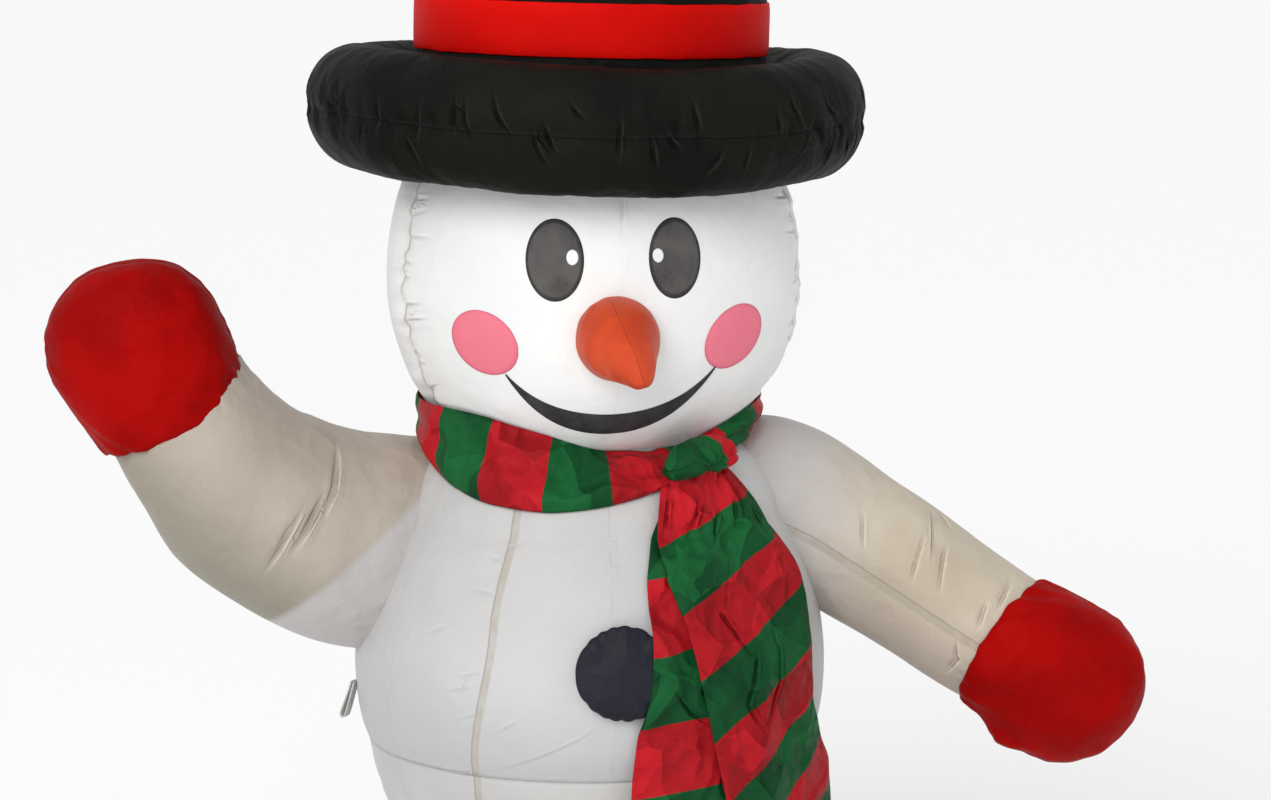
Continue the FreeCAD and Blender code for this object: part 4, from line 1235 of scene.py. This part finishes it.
def makeCrown():
    radius, high, low = hat["crown"], hat["top"], hat["crownLow"]
    profile = [(radius, low + (hat["shoulder"] - low) * index / 42) for index in range(43)]
    for index in range(1, 13):
        turn = math.radians(90 * index / 12)
        rise = high - hat["dome"] - hat["shoulder"]
        reach = radius - hat["edge"] * (1 - math.cos(turn))
        profile.append((reach, hat["shoulder"] + rise * math.sin(turn)))
    rim = radius - hat["edge"]
    for index in range(1, 17):
        share = index / 16
        profile.append((rim * (1 - share), high - hat["dome"] * (1 - share) ** 2))
    bm = lathe(profile, 180, True)
    seamReach, seamHeight = hat["topSeam"]
    bandMiddle = (hat["bandLow"] + hat["bandHigh"]) / 2
    seam = []
    run = []
    for vertex in bm.verts:
        azimuth = azimuthOf(vertex.co)
        reach = math.hypot(vertex.co.x, vertex.co.y)
        outward = Vector((vertex.co.x, vertex.co.y, 0)).normalized() if reach > 0.01 else Vector((0, 0, 1))
        height = vertex.co.z
        toSeam = math.hypot(reach - seamReach, height - seamHeight)
        ripple = wobble(azimuth * 0.45, 31.0) + 0.7 * wobble(azimuth * 1.0, 8.0)
        move = -0.0050 * math.exp(-(toSeam / 0.008) ** 2) + 0.0030 * ripple * math.exp(-toSeam / 0.03)
        move += 0.0020 * wobble(azimuth * 0.5, 44.0) * math.exp(-max(0.0, height - hat["bandHigh"]) / 0.02)
        move += 0.0022 * wobble(vertex.co.x * 9, vertex.co.y * 9, vertex.co.z * 9)
        backGap = math.radians(angleGap(azimuth, hat["backSeam"])) * reach
        move -= 0.0020 * math.exp(-(backGap / 0.008) ** 2)
        if abs(height - bandMiddle) < 0.036:
            move = min(move, -0.0005)
        vertex.co += outward * move
        side = height - seamHeight if abs(reach - seamReach) < 0.02 else farFromSeam
        seam.append(side if abs(side) < abs(backGap) else backGap)
        run.append(math.radians(azimuth) * radius + height)
    piece = newPiece("crown_bag", bm, "hatCloth")
    setAttribute(piece, "seam", seam)
    setAttribute(piece, "run", run)
    piece.data.transform(hatTilt)
    finishPiece(piece, "body", ("hat_crown",))
    return piece


def makeBand():
    # a flat strip of red cloth, turned in along both edges
    low, high, radius = hat["bandLow"], hat["bandHigh"], hat["crown"]
    profile = [(radius - 0.0015, low + 0.002), (radius + 0.0012, low)]
    for index in range(11):
        share = index / 10
        stand = 0.0028 - 0.0010 * (2 * share - 1) ** 6
        profile.append((radius + stand, low + (high - low) * (0.02 + 0.96 * share)))
    profile += [(radius + 0.0012, high), (radius - 0.0015, high - 0.002)]
    bm = lathe(profile, 240, False)
    for vertex in bm.verts:
        azimuth = azimuthOf(vertex.co)
        outward = Vector((vertex.co.x, vertex.co.y, 0)).normalized()
        edge = min(vertex.co.z - low, high - vertex.co.z)
        ripple = wobble(azimuth * 0.35, 51.0) + 0.5 * wobble(azimuth * 0.9, 15.0)
        vertex.co += outward * 0.0007 * ripple * math.exp(-edge / 0.02)
        vertex.co.z += 0.0008 * wobble(azimuth * 0.12, 60.0)
    piece = newPiece("red_band", bm, "bandCloth")
    piece.data.transform(hatTilt)
    return finishPiece(piece, "body", ("hat_band",))


# carrot nose: a stuffed cone, gathered where it is sewn to the face
carrot = {
    "stations": [(0.002, -0.212, 1.024, 0.0400), (0.003, -0.238, 1.022, 0.0460),
                 (0.005, -0.262, 1.018, 0.0420), (0.009, -0.290, 1.010, 0.0325),
                 (0.014, -0.314, 1.000, 0.0225), (0.018, -0.333, 0.990, 0.0130),
                 (0.0200, -0.3415, 0.985, 0.0035)],
    "ridge": -12, "seam": 165, "length": 0.15, "sides": 48, "rows": 44,
}


def makeNose():
    path = smoothPath(carrot["stations"], carrot["rows"])
    bm = tubeMesh(path, carrot["sides"])[0]
    runs = []
    seam = []
    for index, vertex in enumerate(bm.verts):
        row = min(index // carrot["sides"], len(path) - 1)
        centre, radius = path[row]
        offset = vertex.co - centre
        angle = math.degrees(math.atan2(offset.x, offset.z))
        ridge = math.radians(angleGap(angle, carrot["ridge"])) * radius
        under = math.radians(angleGap(angle, carrot["seam"])) * radius
        share = row / (len(path) - 1)
        move = 0.0030 * math.exp(-(ridge / 0.010) ** 2) * math.sin(math.pi * share) ** 2
        move -= 0.0018 * math.exp(-(under / 0.006) ** 2)
        move += 0.0022 * wobble(angle * 0.09, 3.0) * math.exp(-share / 0.18)
        move += 0.0020 * wobble(vertex.co.x * 30, vertex.co.y * 30, vertex.co.z * 30) * (1 - share)
        vertex.co += offset.normalized() * move if offset.length > 0.002 else Vector()
        seam.append(ridge if abs(ridge) < abs(under) else under)
        runs.append(share * carrot["length"])
    piece = newPiece("carrot_nose", bm, "noseCloth")
    setAttribute(piece, "seam", seam)
    setAttribute(piece, "run", runs)
    finishPiece(piece, "body", ("nose",), levels=1)
    return piece


# puffed buttons with a gathered edge
buttons = [
    {"name": "chest_button", "node": "torso_button", "height": 0.661, "radius": 0.0525, "seed": 3.0},
    {"name": "belly_button", "node": "lower_button", "height": 0.290, "radius": 0.0525, "seed": 8.0},
]


buttonShape = {"halfThick": 0.0110, "standOff": 0.0065, "lowTurn": -62, "scallop": 0.065}


def makeButton(spec):
    radius, seed = spec["radius"], spec["seed"]
    profile = []
    for index in range(25):
        turn = math.radians(buttonShape["lowTurn"] + (90 - buttonShape["lowTurn"]) * index / 24)
        reach = math.cos(turn) ** 0.75 * radius if index < 24 else 0.0
        profile.append((reach, math.sin(turn) * buttonShape["halfThick"]))
    bm = lathe(profile, 120, True)
    for vertex in bm.verts:
        reach = math.hypot(vertex.co.x, vertex.co.y)
        turn = math.atan2(vertex.co.y, vertex.co.x)
        lobe = abs(math.sin(8 * turn + 1.5 * math.sin(2 * turn + seed) + 0.8 * math.sin(3 * turn))) ** 0.7
        deep = 0.55 + 0.9 * wobble(math.cos(turn) * 1.7, math.sin(turn) * 1.7, seed + 2)
        share = (reach / radius) ** 5
        uneven = 0.03 * share * wobble(math.cos(turn), math.sin(turn), seed)
        pull = 1 - buttonShape["scallop"] * deep * share * (1 - lobe) + uneven
        vertex.co.x *= pull
        vertex.co.y *= pull
        vertex.co.z += (0.0030 * wobble(vertex.co.x * 34, vertex.co.y * 34, seed)
                        - 0.0030 * share * (1 - lobe))
    slope = (radiusAt(spec["height"] + 0.02) - radiusAt(spec["height"] - 0.02)) / 0.04
    lean = math.pi / 2 + math.atan(slope)
    stand = (Matrix.Translation(onBody(1, spec["height"], buttonShape["standOff"]))
             @ Matrix.Rotation(lean, 4, "X"))
    bmesh.ops.transform(bm, matrix=stand, verts=bm.verts)
    piece = newPiece(spec["name"], bm, "buttonCloth")
    finishPiece(piece, "body", (spec["node"],), levels=1)
    return piece


# the scarf
scarf = {"stripeAngle": 20.0, "firstStripe": 37, "knotAzimuth": 34.0, "thickness": 0.0012, "rows": 22,
         "turn": 354, "steps": 236, "wrapFlat": (1.27, 0.088)}


def scarfEdges(azimuth):
    # the heights of the wrap's lower and upper edge
    low = 0.828 + 0.048 * easeBetween(0, 78, abs(angleGap(azimuth, -20)))
    high = 0.884 + 0.045 * easeBetween(4, 66, abs(angleGap(azimuth, 12)))
    high += 0.006 * easeBetween(90, 180, abs(azimuth))
    return low, high


def makeWrap():
    rows = scarf["rows"]
    start = scarf["knotAzimuth"] + 2
    bm = bmesh.new()
    line = [bm.verts.new(facing(start) * 0.2 + Vector((0, 0, row / rows))) for row in range(rows + 1)]
    edges = [bm.edges.new(pair) for pair in zip(line, line[1:])]
    bmesh.ops.spin(bm, geom=line + edges, cent=(0, 0, 0), axis=(0, 0, 1), angle=math.radians(scarf["turn"]),
                   steps=scarf["steps"])
    bmesh.ops.recalc_face_normals(bm, faces=bm.faces)
    stripes = []
    for vertex in bm.verts:
        azimuth = azimuthOf(vertex.co)
        turn = (azimuth - start) % 360
        turn = turn if turn < 357 else 0.0
        share = vertex.co.z
        low, high = scarfEdges(azimuth)
        nearKnot = math.exp(-min(turn, 360 - turn) / 16)
        high -= 0.003 * nearKnot
        low += 0.004 * nearKnot
        low += 0.0022 * wobble(azimuth * 0.06, 2.0)
        high += 0.0022 * wobble(azimuth * 0.07, 5.0)
        height = low + (high - low) * share
        chord = radiusAt(low) + (radiusAt(high) - radiusAt(low)) * share
        base = max(chord - 0.003 * share, radiusAt(height)) + 0.0030
        bulge = 0.0085 + 0.0035 * abs(math.sin(math.radians(azimuth)))
        bulge *= math.sin(math.pi * share ** 0.8) ** 0.8
        waves = math.sin(math.tau * (1.55 * share + 0.10 * wobble(azimuth * 0.035, 7.0) + azimuth / 420))
        fold = (0.0034 + 0.0030 * nearKnot) * waves * math.sin(math.pi * share) ** 0.5
        crease = 0.0042 * crumple(math.radians(azimuth) * 0.21 + share * 0.03, share * 0.09, 7.0)
        radius = base + bulge + fold + crease * math.sin(math.pi * min(1, share + 0.1)) ** 0.5
        vertex.co = facing(azimuth) * radius + Vector((0, 0, height))
        stripe = (turn + start - 360) / scarf["stripeAngle"] + scarf["firstStripe"]
        stripe += 0.22 * (share - 0.5) * easeBetween(40, 60, abs(azimuth))
        stripe -= 1.4 * (1 - easeBetween(40, 200, turn)) + 0.3 * easeBetween(325, 350, turn)
        stripes.append(stripe)
    piece = newPiece("neck_wrap", bm, "scarfCloth")
    setAttribute(piece, "stripe", stripes)
    finishPiece(piece, "body", ("scarf_wrap",), wall=scarf["thickness"])
    return piece


knot = {"azimuth": 29.5, "reach": 0.209, "height": 0.8800, "half": (0.0450, 0.023, 0.0200), "lean": -7,
        "pinch": (0.005, -0.013), "pleats": 11}


def makeKnot():
    # the turn of cloth over the tie, with pleats that run to one deep tuck
    bm = bmesh.new()
    bmesh.ops.create_icosphere(bm, subdivisions=6, radius=1.0)
    turn = (Matrix.Rotation(math.radians(knot["azimuth"]), 3, "Z")
            @ Matrix.Rotation(math.radians(knot["lean"]), 3, "Y"))
    centre = facing(knot["azimuth"]) * knot["reach"] + Vector((0, 0, knot["height"]))
    stripes = []
    for vertex in bm.verts:
        place = vertex.co.copy()
        square = 1 + 0.20 * abs(place.x * place.z) ** 0.5
        local = (Vector((place.x * knot["half"][0], place.y * knot["half"][1], place.z * knot["half"][2]))
                 * square)
        local.z += 0.007 * (1 - (local.x / knot["half"][0]) ** 2) - 0.004
        fromPinch = Vector((local.x - knot["pinch"][0], local.z - knot["pinch"][1]))
        around = math.atan2(fromPinch.y, fromPinch.x)
        spread = fromPinch.length
        frontness = max(0.0, -place.y)
        pleat = math.sin(knot["pleats"] * around + 1.6 * wobble(around * 1.4, spread * 60))
        relief = 0.0030 * pleat * min(1.0, spread / 0.012) * math.exp(-spread / 0.045)
        relief += 0.0030 * wobble(local.x * 45, local.z * 45, 3.0)
        relief -= 0.0130 * math.exp(-(spread / 0.0075) ** 2)
        vertex.co = turn @ (local + place * (relief * (0.3 + 0.7 * frontness))) + centre
        stripes.append(1.0 + max(-0.9, min(0.9, 34 * (local.x - 0.0185 + 0.35 * local.z))))
    piece = newPiece("scarf_tie", bm, "scarfCloth")
    setAttribute(piece, "stripe", stripes)
    finishPiece(piece, "body", ("scarf_knot",))
    return piece


def valueAt(points, value):
    # a value between (place, value) pairs, given from high to low
    if value >= points[0][0]:
        return points[0][1]
    for (highPlace, highValue), (lowPlace, lowValue) in zip(points, points[1:]):
        if value >= lowPlace:
            share = (highPlace - value) / (highPlace - lowPlace)
            return highValue + (lowValue - highValue) * share
    return points[-1][1]


def smoothAlong(points, value):
    # the same, rounded at the pairs
    spread = 0.008
    return sum(valueAt(points, value + step * spread) for step in (-1, -0.5, 0, 0.5, 1)) / 5


tails = {
    "rear": {"name": "rear_scarf_end", "node": "scarf_rear_tail", "body": "rear_tail", "high": 0.848,
             "low": 0.455,
             "left": [(0.848, 20), (0.825, 13.8), (0.800, 10.5), (0.757, 7.9), (0.680, 7.5), (0.640, 6.8),
                      (0.600, 4.6), (0.540, 3.0), (0.455, 2.2)],
             "right": [(0.848, 34), (0.835, 34), (0.757, 33), (0.680, 32), (0.600, 31), (0.455, 30)],
             "gap": 0.0035, "fold": 0.0016, "folds": 1.7, "seed": 11.0, "crumple": 0.0030,
             "stripeTop": 0.757, "stripeStep": 0.0790, "slope": 0.0004, "slopeGrow": 0.0, "parity": 1,
             "flat": (0.15, 0.40), "above": None,
             "creases": [([(17.9, 0.746), (19.4, 0.709), (20.0, 0.682)], 0.0025),
                         ([(12.0, 0.640), (17.0, 0.610), (21.0, 0.600)], 0.0025)]},
    "front": {"name": "front_scarf_end", "node": "scarf_front_tail", "body": "front_tail", "high": 0.874,
              "low": 0.442,
              "left": [(0.874, 19.0), (0.862, 16.5), (0.850, 14.5), (0.828, 12.6), (0.800, 11.5),
                       (0.760, 12.5), (0.712, 16), (0.655, 18.8), (0.600, 21.4), (0.560, 23.0),
                       (0.509, 25.7), (0.442, 29.0)],
              "right": [(0.874, 42), (0.862, 43.5), (0.846, 45), (0.830, 47), (0.808, 49.5), (0.778, 54.5),
                        (0.752, 57.4), (0.700, 56.8), (0.654, 55.0), (0.600, 56.5), (0.560, 60.5),
                        (0.520, 68.0), (0.442, 73.0)],
              "gap": 0.0100, "fold": 0.0060, "folds": 2.2, "seed": 4.0, "crumple": 0.0095,
              "stripeTop": 0.790, "stripeStep": 0.0715, "slope": 0.00125, "slopeGrow": 0.0024, "parity": 0,
              "flat": (0.20, 0.45), "above": "rear",
              "creases": [([(31.3, 0.872), (15.7, 0.833), (12.4, 0.790)], 0.0060),
                          ([(32.3, 0.869), (23.9, 0.825), (18.7, 0.788)], 0.0060),
                          ([(32.0, 0.862), (30.9, 0.815), (26.7, 0.774)], 0.0050),
                          ([(37.0, 0.867), (45.0, 0.815), (49.6, 0.772)], 0.0060),
                          ([(30.5, 0.757), (26.7, 0.711), (34.0, 0.656), (31.6, 0.612), (36.6, 0.573)],
                           0.0045),
                          ([(41.6, 0.684), (41.6, 0.627), (36.5, 0.586)], 0.0035),
                          ([(34.5, 0.868), (38.5, 0.826), (38.0, 0.790)], 0.0045)]},
}


def tailSurface(tail, across, down):
    # a place on the cloth: across and down from 0 to 1 give azimuth, distance from the axis, and height
    height = tail["high"] - down * (tail["high"] - tail["low"])
    left = smoothAlong(tail["left"], height)
    right = smoothAlong(tail["right"], height)
    azimuth = left + (right - left) * across
    wide = math.radians(right - left) * 0.27
    gather = math.exp(-down / 0.15)
    seed = tail["seed"]
    phase = tail["folds"] * across + 0.22 * wobble(down * 3.2, seed) + seed * 0.1
    relief = tail["fold"] * (0.22 + 0.6 * gather) * math.sin(math.tau * phase)
    pleat = math.sin(math.tau * (4.3 * across + 0.3 * wobble(down * 5, 2.0)))
    relief += tail["fold"] * 0.42 * gather * (abs(pleat) * 2 - 1)
    relief += tail["crumple"] * (1 - 0.45 * gather) * crumple(across * wide, height, seed)
    relief *= min(1.0, 0.55 + 5 * min(across, 1 - across))
    button = Vector((math.radians(azimuth - 1) * 0.265, height - buttons[0]["height"])).length
    over = 1 - easeBetween(0.047, 0.078, button)
    relief *= 1 - 0.6 * over
    distance = radiusAt(max(height, 0.612)) + tail["gap"] + 0.0145 * over + max(relief, 0.0015 - tail["gap"])
    return azimuth, left, distance, height


def overTail(under, azimuth, height, distance):
    # keeps one end of the scarf outside the other where it lies over it
    down = (under["high"] - height) / (under["high"] - under["low"])
    left, right = smoothAlong(under["left"], height), smoothAlong(under["right"], height)
    across = (azimuth - left) / (right - left)
    if -0.1 < across < 1.1 and -0.05 < down < 1.05:
        below = tailSurface(under, max(0.0, min(1.0, across)), max(0.0, min(1.0, down)))[2]
        return max(distance, below + 0.0042)
    return distance


def makeTail(tail):
    bm = bmesh.new()
    bmesh.ops.create_grid(bm, x_segments=60, y_segments=132, size=0.5)
    stripes = []
    found = []
    standOff = tail["gap"] + 0.006
    creases = [([onBody(*place, standOff) for place in places], deep) for places, deep in tail["creases"]]
    lines = foldLines(creases)
    for vertex in bm.verts:
        across, down = vertex.co.x + 0.5, 0.5 - vertex.co.y
        azimuth, left, distance, height = tailSurface(tail, across, down)
        if tail["above"]:
            distance = overTail(tails[tail["above"]], azimuth, height, distance)
        height += 0.005 * wobble(across * 3, tail["seed"]) * down
        vertex.co = facing(azimuth) * distance + Vector((0, 0, height))
        found.append(foldAt(vertex.co, facing(azimuth), lines))
        vertex.co -= facing(azimuth) * min(found[-1][2], 0.0030)
        slope = tail["slope"] + tail["slopeGrow"] * down
        fromTop = tail["stripeTop"] + slope * (azimuth - left) - height
        stripes.append(fromTop / tail["stripeStep"] + 20 + tail["parity"])
    bmesh.ops.recalc_face_normals(bm, faces=bm.faces)
    if sum(face.normal.dot(facing(knot["azimuth"])) for face in bm.faces) < 0:
        bmesh.ops.reverse_faces(bm, faces=bm.faces)
    piece = newPiece(tail["name"], bm, "scarfCloth")
    setAttribute(piece, "stripe", stripes)
    setFolds(piece, found)
    finishPiece(piece, None, (tail["node"],), wall=scarf["thickness"])
    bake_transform(piece)
    return piece


# loops of tape for the guy ropes, sewn in at the top and hanging flat
guyLoops = {
    "azimuths": (-90, 110, 180), "top": 0.598, "half": 0.0062, "tape": 0.0012, "twist": 32,
    "flat": (0.0124, 0.28),
    "corners": [(0.0030, 0.0), (0.0070, -0.010), (0.0146, -0.026), (0.0200, -0.036), (0.0202, -0.0400),
                (0.0172, -0.0400), (0.0112, -0.028), (0.0045, -0.011), (0.0006, 0.0)],
}


def makeGuyLoops():
    bm = bmesh.new()
    for azimuth in guyLoops["azimuths"]:
        path = smoothPath([(reach, drop, 0, 0.001) for reach, drop in guyLoops["corners"]], 60)
        line = []
        for centre, radius in path:
            skin = radiusAt(guyLoops["top"] + centre.y)
            line.append(facing(azimuth) * (skin + centre.x) + Vector((0, 0, guyLoops["top"] + centre.y)))
        side = facing(azimuth + 90 - guyLoops["twist"])
        strip = [bm.verts.new(place - side * guyLoops["half"]) for place in line]
        edges = [bm.edges.new(pair) for pair in zip(strip, strip[1:])]
        for step in range(4):
            made = bmesh.ops.extrude_edge_only(bm, edges=edges)
            moved = newOnes(made, bmesh.types.BMVert)
            bmesh.ops.translate(bm, verts=moved, vec=side * guyLoops["half"] / 2)
            edges = [edge for edge in newOnes(made, bmesh.types.BMEdge)
                     if all(end in moved for end in edge.verts)]
    bmesh.ops.recalc_face_normals(bm, faces=bm.faces)
    piece = newPiece("guy_loops", bm, "webbing")
    finishPiece(piece, "body", ("tether_loops",), wall=guyLoops["tape"])
    return piece


# the sleeve that holds the blower, and the sand bags inside
sleeve = {"axisHeight": 0.130, "outer": 0.0635, "start": 0.262, "end": 0.333, "strap": 0.325, "wall": 0.0006}


def makeSleeve():
    profile = []
    for index in range(19):
        share = index / 18
        place = sleeve["start"] + (sleeve["end"] - sleeve["start"]) * share
        tight = math.exp(-((place - sleeve["strap"]) / 0.010) ** 2)
        radius = sleeve["outer"] + 0.006 * (1 - share) ** 2 + 0.0025 * (1 - tight) * share - 0.0016 * tight
        profile.append((radius, place))
    bm = lathe(profile, 144, False)
    for vertex in bm.verts:
        around = math.degrees(math.atan2(vertex.co.y, vertex.co.x))
        outward = Vector((vertex.co.x, vertex.co.y, 0)).normalized()
        loose = min(1.0, abs(vertex.co.z - sleeve["strap"]) / 0.016)
        move = 0.0016 * wobble(around * 0.16, 2.0) + 0.0010 * wobble(around * 0.4, vertex.co.z * 30)
        vertex.co += outward * max(move, -0.0006) * loose
    axis = Vector((0, 0, sleeve["axisHeight"]))
    turn = Matrix.Translation(axis) @ Matrix.Rotation(math.radians(-90), 4, "X")
    bmesh.ops.transform(bm, matrix=turn, verts=bm.verts)
    bmesh.ops.recalc_face_normals(bm, faces=bm.faces)
    piece = newPiece("blower_sleeve", bm, "sleeveCloth")
    setAttribute(piece, "seam", [farFromSeam] * len(piece.data.vertices))
    setAttribute(piece, "run", [0.0] * len(piece.data.vertices))
    return finishPiece(piece, "body", ("fan_sleeve",), wall=sleeve["wall"])


sandBag = {"aside": 0.085, "front": -0.040, "height": 0.019, "size": (0.118, 0.158, 0.022), "cuts": 13}


def makeSandBags():
    bm = bmesh.new()
    aside, front, middle = sandBag["aside"], sandBag["front"], sandBag["height"]
    for side in (-1, 1):
        place = Matrix.Translation((side * aside, front, middle)) @ Matrix.Diagonal((*sandBag["size"], 1))
        bmesh.ops.create_cube(bm, size=1.0, matrix=place)
    bmesh.ops.subdivide_edges(bm, edges=bm.edges, cuts=sandBag["cuts"], use_grid_fill=True)
    for vertex in bm.verts:
        across = abs(abs(vertex.co.x) - aside) / (sandBag["size"][0] / 2)
        down = abs(vertex.co.y - front) / (sandBag["size"][1] / 2)
        crown = max(0.0, (1 - across ** 2.5) * (1 - down ** 2.5))
        uneven = 0.0010 * wobble(vertex.co.x * 30, vertex.co.y * 30)
        vertex.co.z = middle + (vertex.co.z - middle) * (0.25 + 1.05 * crown) + uneven
    bmesh.ops.recalc_face_normals(bm, faces=bm.faces)
    piece = newPiece("sand_bags", bm, "bagCloth")
    finishPiece(piece, "body", ("weight_bags",))
    return piece


# floor, and finishes of the parts that stay as they are
nodeFinishes = {
    "base_panel": "baseCloth", "stake_tabs": "webbing", "stake_eyelets": "eyeletBrass",
    "zip_tape": "webbing", "zip_teeth": "zipPlastic", "zip_stops": "castAlloy", "zip_slider": "castAlloy",
    "zip_pull": "castAlloy", "sleeve_strap": "darkWebbing", "fan_housing": "blackPlastic",
    "fan_grille": "blackPlastic", "housing_screws": "screwSteel", "motor_mount": "blackPlastic",
    "motor": "screwSteel", "motor_shaft": "screwSteel", "impeller": "blackPlastic",
    "power_inlet": "glossPlastic", "lamp_lead": "leadRubber", "lead_connector": "blackPlastic",
    "lamp_holders": "blackPlastic", "lamp_bulbs": "lampGlass", "lamp_hanger": "webbing",
}


def finishNodes():
    for node, name in nodeFinishes.items():
        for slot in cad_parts[node].material_slots:
            slot.material = materials[name]


def makeFloor():
    bm = bmesh.new()
    bmesh.ops.create_grid(bm, x_segments=1, y_segments=1, size=studio["floorSize"])
    data = bpy.data.meshes.new("floor")
    bm.to_mesh(data)
    bm.free()
    floor = bpy.data.objects.new("floor", data)
    bpy.context.collection.objects.link(floor)
    paint = bpy.data.materials.new("paleFloor")
    paint.use_nodes = True
    shader = paint.node_tree.nodes["Principled BSDF"]
    shader.inputs["Base Color"].default_value = (*studio["floorColour"], 1)
    shader.inputs["Roughness"].default_value = 0.9
    data.materials.append(paint)


for spec in patches:
    makeOvalPatch(spec)
makeMouth()
print("face made")
makeNose()
for spec in buttons:
    makeButton(spec)
makeBrim()
makeCrown()
makeBand()
print("hat made")
makeWrap()
makeKnot()
for tail in tails.values():
    makeTail(tail)
print("scarf made")
for arm in arms.values():
    makeArm(arm)
for hand in mittens:
    makeMitten(hand)
makeGuyLoops()
makeSleeve()
makeSandBags()
finishNodes()
makeFloor()
